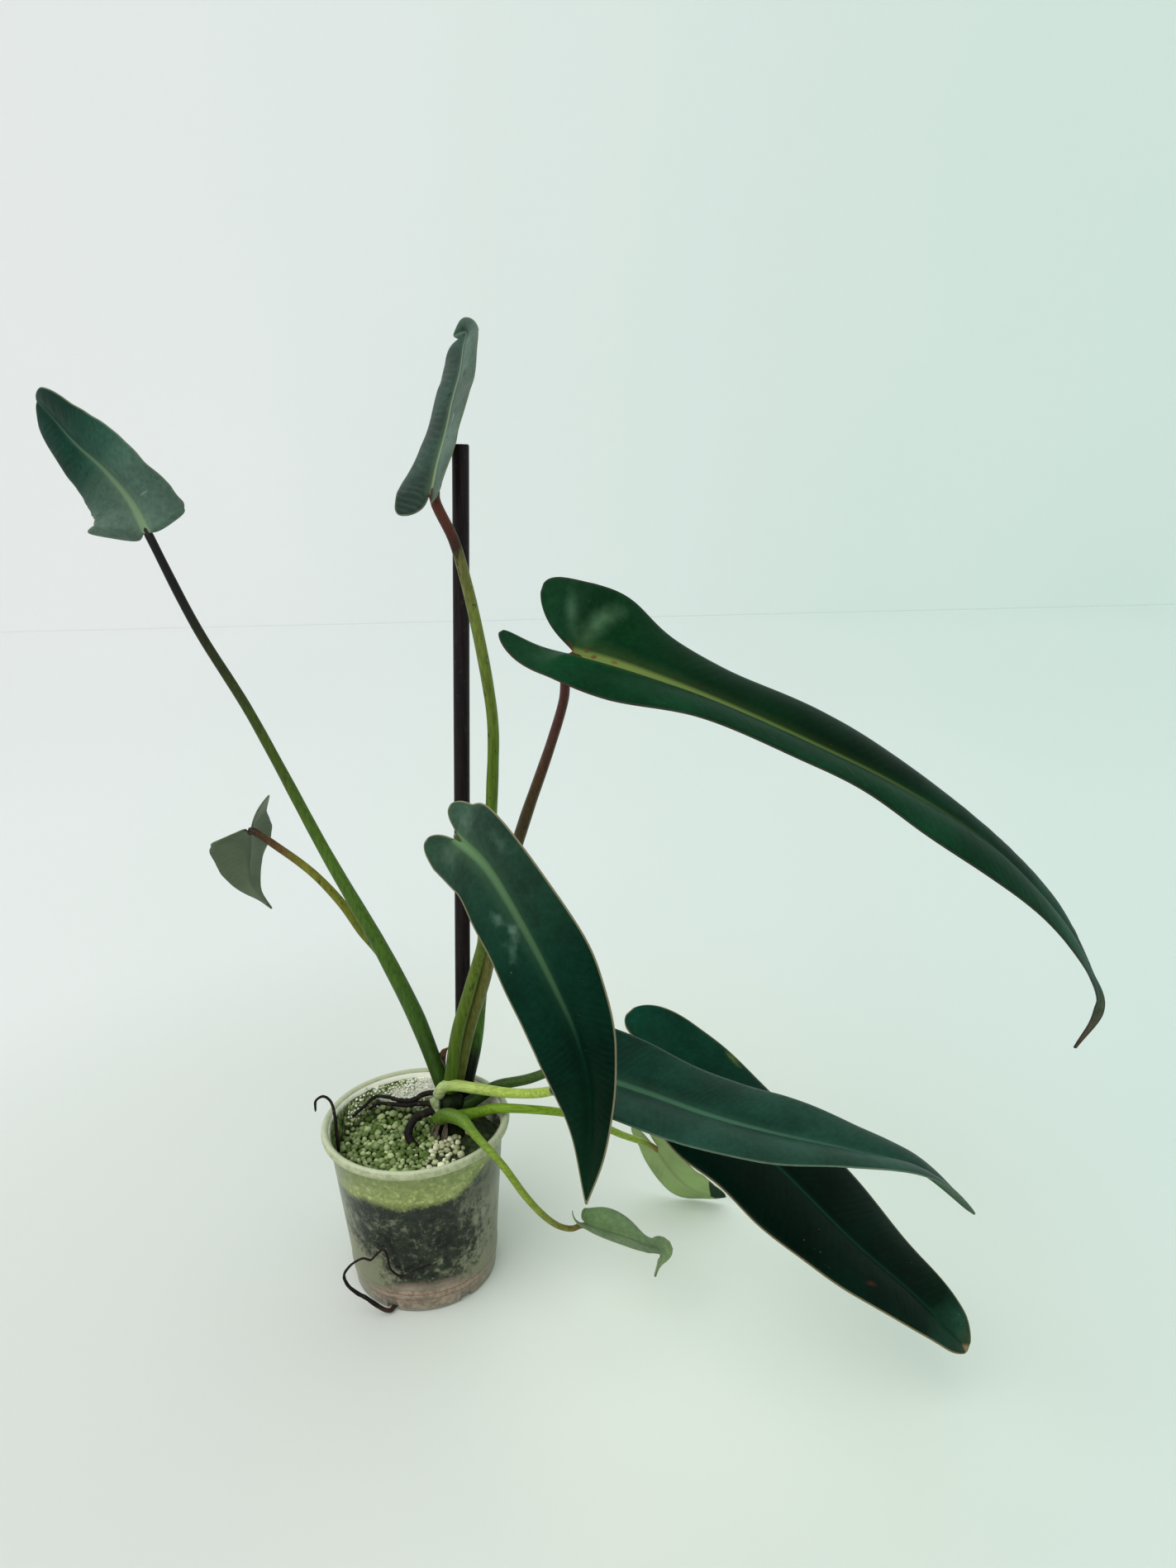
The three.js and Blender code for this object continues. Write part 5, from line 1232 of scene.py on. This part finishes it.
def scatter(name, finish, grains, chance):
    """One piece of many rounded grains, copied in doubling groups."""
    bm = bmesh.new()
    tint = bm.verts.layers.float.new("tint")
    rise = bm.verts.layers.float.new("rise")
    bmesh.ops.create_uvsphere(bm, u_segments=8, v_segments=5, radius=1)
    groups = [list(bm.verts)]
    while len(groups) < len(grains):
        copies = bmesh.ops.duplicate(bm, geom=bm.verts[:] + bm.edges[:] + bm.faces[:])["vert_map"]
        groups += [[copies[vert] for vert in group] for group in groups]
    spare = [vert for group in groups[len(grains):] for vert in group]
    for laid_as, group in zip(grains, groups):
        shade = chance.random()
        for vert in group:
            vert[tint] = shade
            # Height within the grain, kept for the painted shade on its underside.
            vert[rise] = vert.co.z
            place = laid_as @ vert.co
            place += (place - laid_as.translation) * 0.3 * noise.noise(place * 0.5)
            vert.co = place * MM
    bmesh.ops.delete(bm, geom=spare, context="VERTS")
    piece = new_piece(name, bm, [finish])
    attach(piece, "root")
    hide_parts("top_dressing")


def build_grains():
    chance = random.Random(SEED)
    coarse = grain_finish("green_grit", (0.085, 0.14, 0.035), (0.56, 0.65, 0.32), (0.075, 0.135, 0.018), 0.75)
    chips = grain_finish("cream_chips", (0.42, 0.45, 0.24), (0.98, 0.96, 0.7), (0.16, 0.21, 0.05), 0.5)
    crumbs = grain_finish("crust_crumbs", (0.9, 0.92, 0.75), (0.98, 0.99, 0.9), (0.3, 0.4, 0.14), 0.2, 0.85)

    def chips_from(y):
        """The x from which pale chips take over from mossy grit."""
        return 7.5 + 0.15 * y

    def front_left(x, y):
        return dressing_height(x, y) < GRIT_BELOW and x < chips_from(y)

    def by_the_stem(x, y):
        return y < 17 and chips_from(y) <= x and chance.random() < 1.1 - 0.045 * x

    def bank(x, y):
        return dressing_height(x, y) > CRUMBS_ABOVE

    scatter("grit_grains", coarse, lay_grains(front_left, chance, **GRIT), chance)
    scatter("grit_chips", chips, lay_grains(by_the_stem, chance, **CHIPS), chance)
    scatter("crust_crumbs", crumbs, lay_grains(bank, chance, **CRUMBS), chance)


# Stem, bract and stake

def stem_finish():
    """Ringed stem: near-black below, partly its own colour and partly painted shade under the leaves arching
    over it, green skin and a whitish ringed knuckle.
    """
    finish = Finish("ringed_stem")
    place = finish.place()
    spot = finish.split(place)
    broad = finish.mottle(place, 120, 4, 0.6)
    fine = finish.mottle(place, 600, 4, 0.6)
    # Near-black body, partly painted shade under the arching leaves.
    colour = finish.mix(finish.fade(broad, 0.45, 0.7), (0.003, 0.005, 0.002), (0.015, 0.026, 0.006))
    side = finish.add(spot[0], finish.times(broad, 0.003))
    pale = finish.mix(finish.fade(broad, 0.4, 0.7), (0.4, 0.44, 0.28), (0.16, 0.22, 0.07))
    upper = finish.fade(spot[2], 0.0745, 0.079)
    knuckle = finish.times(finish.fade(side, 0.0125, 0.0105), upper)
    colour = finish.mix(knuckle, colour, pale)
    finish.set(base_color=colour, roughness=0.6, specular_ior_level=0.12)
    finish.bump(fine, 0.0005, 0.6)
    return finish.material


def build_stem():
    bm = tube_mesh(((14, 14, 52), (14, 13, 62), (14, 13, 70), (14, 15, 79), (15, 17, 87)),
                   (7, 7.6, 7, 7.8, 7.1, 7.7, 6.9, 7.2, 5), sides=28, rings=48, crinkle=0.08, grain=0.3)
    knuckle = tube_mesh(((12, 14, 72), (9.5, 12, 79), (9, 12, 87)),
                        (3.4, 3.9, 3.3, 3.9, 3.2, 3.8, 3), sides=20, rings=36, crinkle=0.08, grain=0.4)
    spare = bpy.data.meshes.new("knuckle")
    knuckle.to_mesh(spare)
    knuckle.free()
    bm.from_mesh(spare)
    bpy.data.meshes.remove(spare)
    piece = new_piece("ringed_stem", bm, [stem_finish()])
    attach(piece, "root")
    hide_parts("stem")


def bract_finish(name, dark, pale):
    finish = Finish(name)
    place = finish.place()
    fibres = finish.mottle(finish.place((900, 900, 90)), 1, 4, 0.65)
    colour = finish.mix(finish.fade(fibres, 0.3, 0.7), dark, pale)
    stain = finish.fade(finish.mottle(place, 240, 3), 0.5, 0.7)
    colour = finish.mix(stain, colour, dimmed(dark, 0.6))
    finish.set(base_color=colour, roughness=0.7)
    finish.bump(fibres, 0.0004, 0.7)
    return finish.material


def curled_strip(name, points, widths, bow, finish):
    """A thin papery strip that curls across its width."""
    rows, columns = 28, 8
    bm = bmesh.new()
    bmesh.ops.create_grid(bm, x_segments=columns, y_segments=rows, size=0.5)
    for vert in bm.verts:
        t = vert.co.y + 0.5
        across = vert.co.x * 2
        width = along(widths, t)
        spot = point_along(points, t)
        spot.x += across * width
        spot.y += bow * width * across * across + 0.3 * noise.noise(Vector((t * 9, across * 2, 1)))
        vert.co = spot * MM
    piece = new_piece(name, bm, [finish])
    solid = piece.modifiers.new("thickness", "SOLIDIFY")
    solid.thickness = BRACT_THICKNESS * MM
    solid.offset = 0
    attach(piece, "root")
    return piece


def build_bracts():
    tan = bract_finish("papery_bract", (0.16, 0.07, 0.03), (0.42, 0.24, 0.12))
    muted = bract_finish("muted_scale", (0.03, 0.022, 0.014), (0.15, 0.115, 0.08))
    spine = ((10, 23, 86), (9, 25, 93), (10, 26, 99), (12, 25, 105), (15, 23, 108))
    bract = curled_strip("curled_bract", spine, (3.4, 3, 2.2, 1.4, 0.6), 0.35, tan)
    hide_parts("dried_bract")
    curled_strip("papery_scale_front", ((6, 4.5, 67), (7, 4.5, 70), (8.5, 5, 74), (10.5, 5.5, 78)),
                 (1.5, 1.8, 1.5, 0.8), -0.5, muted)
    curled_strip("papery_scale_side", ((12, 3.5, 67), (12.5, 4, 70), (13, 5, 73), (13.5, 6, 76)),
                 (1.1, 1.5, 1.2, 0.6), -0.4, muted)


def stake_finish():
    """Dark coated rod, satin, with fine scuffs along it and a little dust."""
    finish = Finish("dark_coating")
    place = finish.place()
    scuffs = finish.mottle(finish.place((1400, 1400, 40)), 1, 4, 0.6)
    dust = finish.fade(finish.mottle(place, 300, 3), 0.58, 0.75)
    colour = finish.mix(finish.fade(scuffs, 0.4, 0.7), (0.007, 0.004, 0.005), (0.018, 0.01, 0.012))
    colour = finish.mix(finish.times(dust, 0.25), colour, (0.07, 0.055, 0.055))
    finish.set(base_color=colour, roughness=0.42, specular_ior_level=0.12)
    finish.bump(scuffs, 0.0001, 0.4)
    return finish.material


def build_stake():
    """A straight rod with an eased flat end, leaning the way it does in the pot."""
    foot, top = Vector(STAKE_FOOT) * MM, Vector(STAKE_TOP) * MM
    lean = (top - foot).to_track_quat("Z", "Y").to_matrix().to_4x4()
    radius, length = STAKE_RADIUS * MM, (top - foot).length
    bm = bmesh.new()
    bmesh.ops.create_cone(bm, cap_ends=True, segments=36, radius1=radius, radius2=radius, depth=length,
                          matrix=Matrix.Translation((foot + top) / 2) @ lean)
    rims = [edge for edge in bm.edges if any(len(face.verts) != 4 for face in edge.link_faces)]
    bmesh.ops.bevel(bm, geom=rims, offset=STAKE_EDGE * MM, offset_type="OFFSET", affect="EDGES",
                    segments=4, profile=0.5, material=-1)
    close_and_turn_out(bm)
    piece = new_piece("dark_stake", bm, [stake_finish()])
    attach(piece, "root")
    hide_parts("stake")


# Stage, camera and light

def stage_finish():
    """Pale paper, nearly white to the left and faintly mint to the right, with painted light and shade laid
    over the floor and wall.
    """
    finish = Finish("pale_paper")
    place = finish.place()
    shade = finish.mottle(place, 1.3, 2)
    left = finish.mix(shade, (0.78, 0.815, 0.785), (0.82, 0.85, 0.82))
    right = finish.mix(shade, (0.65, 0.785, 0.715), (0.69, 0.805, 0.735))
    x, y, z = finish.split(place)
    wider = finish.larger(finish.times(y, 0.45), -0.1)
    across = finish.fade(x, finish.less(-0.25, wider), finish.add(0.55, wider))
    colour = finish.mix(across, left, right)

    # Painted light and shade: the floor darker than the wall and darker further back, the ground round the
    # pot darker on its left and lighter on its right, and painted light on the ground under the leaves on the
    # right, where their shadow falls
    floor = finish.mix(finish.fade(y, 0.3, 1.6), (0.92, 0.91, 0.935), (0.89, 0.875, 0.905))
    painted_wall_light_and_floor_shade = finish.mix(finish.fade(z, 0.003, 0.0), (1.03, 1.0, 1.04), floor)
    from_pot = finish.distance(place, (0, 0, 0))
    near = finish.mix(finish.fade(x, -0.1, 0.1), (0.92, 0.925, 0.89), (1.03, 1.02, 0.965))
    near = finish.mix(finish.fade(from_pot, 0.2, 0.45), near, (1.0, 1.0, 1.0))
    painted_light_under_leaves = finish.fade(finish.distance(place, PAINTED_LIGHT_SPOT), 0.0, 0.18, 1.3, 1.0)
    colour = finish.mix(1.0, colour, painted_wall_light_and_floor_shade, "MULTIPLY")
    colour = finish.mix(1.0, colour, near, "MULTIPLY")
    colour = finish.shaded(colour, painted_light_under_leaves)
    finish.set(base_color=colour, roughness=0.85, specular_ior_level=0.1)
    return finish.material


def build_stage():
    floor_back, wall_top, half = 2.12, 5.0, 6.0
    bm = bmesh.new()
    corners = ((-half, -half, 0), (-half, floor_back, 0), (-half, floor_back, wall_top))
    verts = [bm.verts.new(spot) for spot in corners]
    edges = [bm.edges.new(pair) for pair in zip(verts, verts[1:])]
    swept = bmesh.ops.extrude_edge_only(bm, edges=edges)
    moved = [part for part in swept["geom"] if isinstance(part, bmesh.types.BMVert)]
    bmesh.ops.translate(bm, verts=moved, vec=(2 * half, 0, 0))
    bmesh.ops.recalc_face_normals(bm, faces=bm.faces)
    new_piece("pale_sweep", bm, [stage_finish()], smooth=False)


def place_camera():
    data = bpy.data.cameras.new("camera")
    data.lens = CAMERA_LENS
    camera = bpy.data.objects.new("camera", data)
    ahead = Vector((0, math.cos(CAMERA_DOWN), -math.sin(CAMERA_DOWN)))
    level = Vector((1, 0, 0))
    upward = level.cross(ahead)
    right = level * math.cos(CAMERA_LEAN) + upward * math.sin(CAMERA_LEAN)
    top = upward * math.cos(CAMERA_LEAN) - level * math.sin(CAMERA_LEAN)
    turn = Matrix((right, top, -ahead)).transposed().to_4x4()
    camera.matrix_world = Matrix.Translation(CAMERA_PLACE) @ turn
    bpy.context.collection.objects.link(camera)
    bpy.context.scene.camera = camera


def place_sun():
    """One wide soft sun from the upper left in front."""
    spot, aim = Vector((-0.9, -1.1, 2.1)), Vector((0, 0, 0.1))
    data = bpy.data.lights.new("soft_key", "SUN")
    data.energy = 1.2
    data.color = (1, 1, 0.99)
    data.angle = math.radians(60)
    light = bpy.data.objects.new("soft_key", data)
    light.location = spot
    light.rotation_euler = (aim - spot).to_track_quat("-Z", "Y").to_euler()
    bpy.context.collection.objects.link(light)


def light_studio():
    place_sun()
    world = bpy.data.worlds.new("studio")
    bpy.context.scene.world = world
    world.use_nodes = True
    background = world.node_tree.nodes["Background"]
    background.inputs["Color"].default_value = (0.97, 1.0, 0.985, 1)
    background.inputs["Strength"].default_value = 0.80
    bpy.context.scene.view_settings.view_transform = "Standard"


place_camera()
light_studio()
build_stage()
build_pot()
build_mix()
build_crust()
build_grains()
build_stem()
build_bracts()
build_stake()
build_roots()
for leaf, stalk in zip(LEAVES, STALKS):
    build_blade(leaf)
    build_stalk(stalk, leaf)
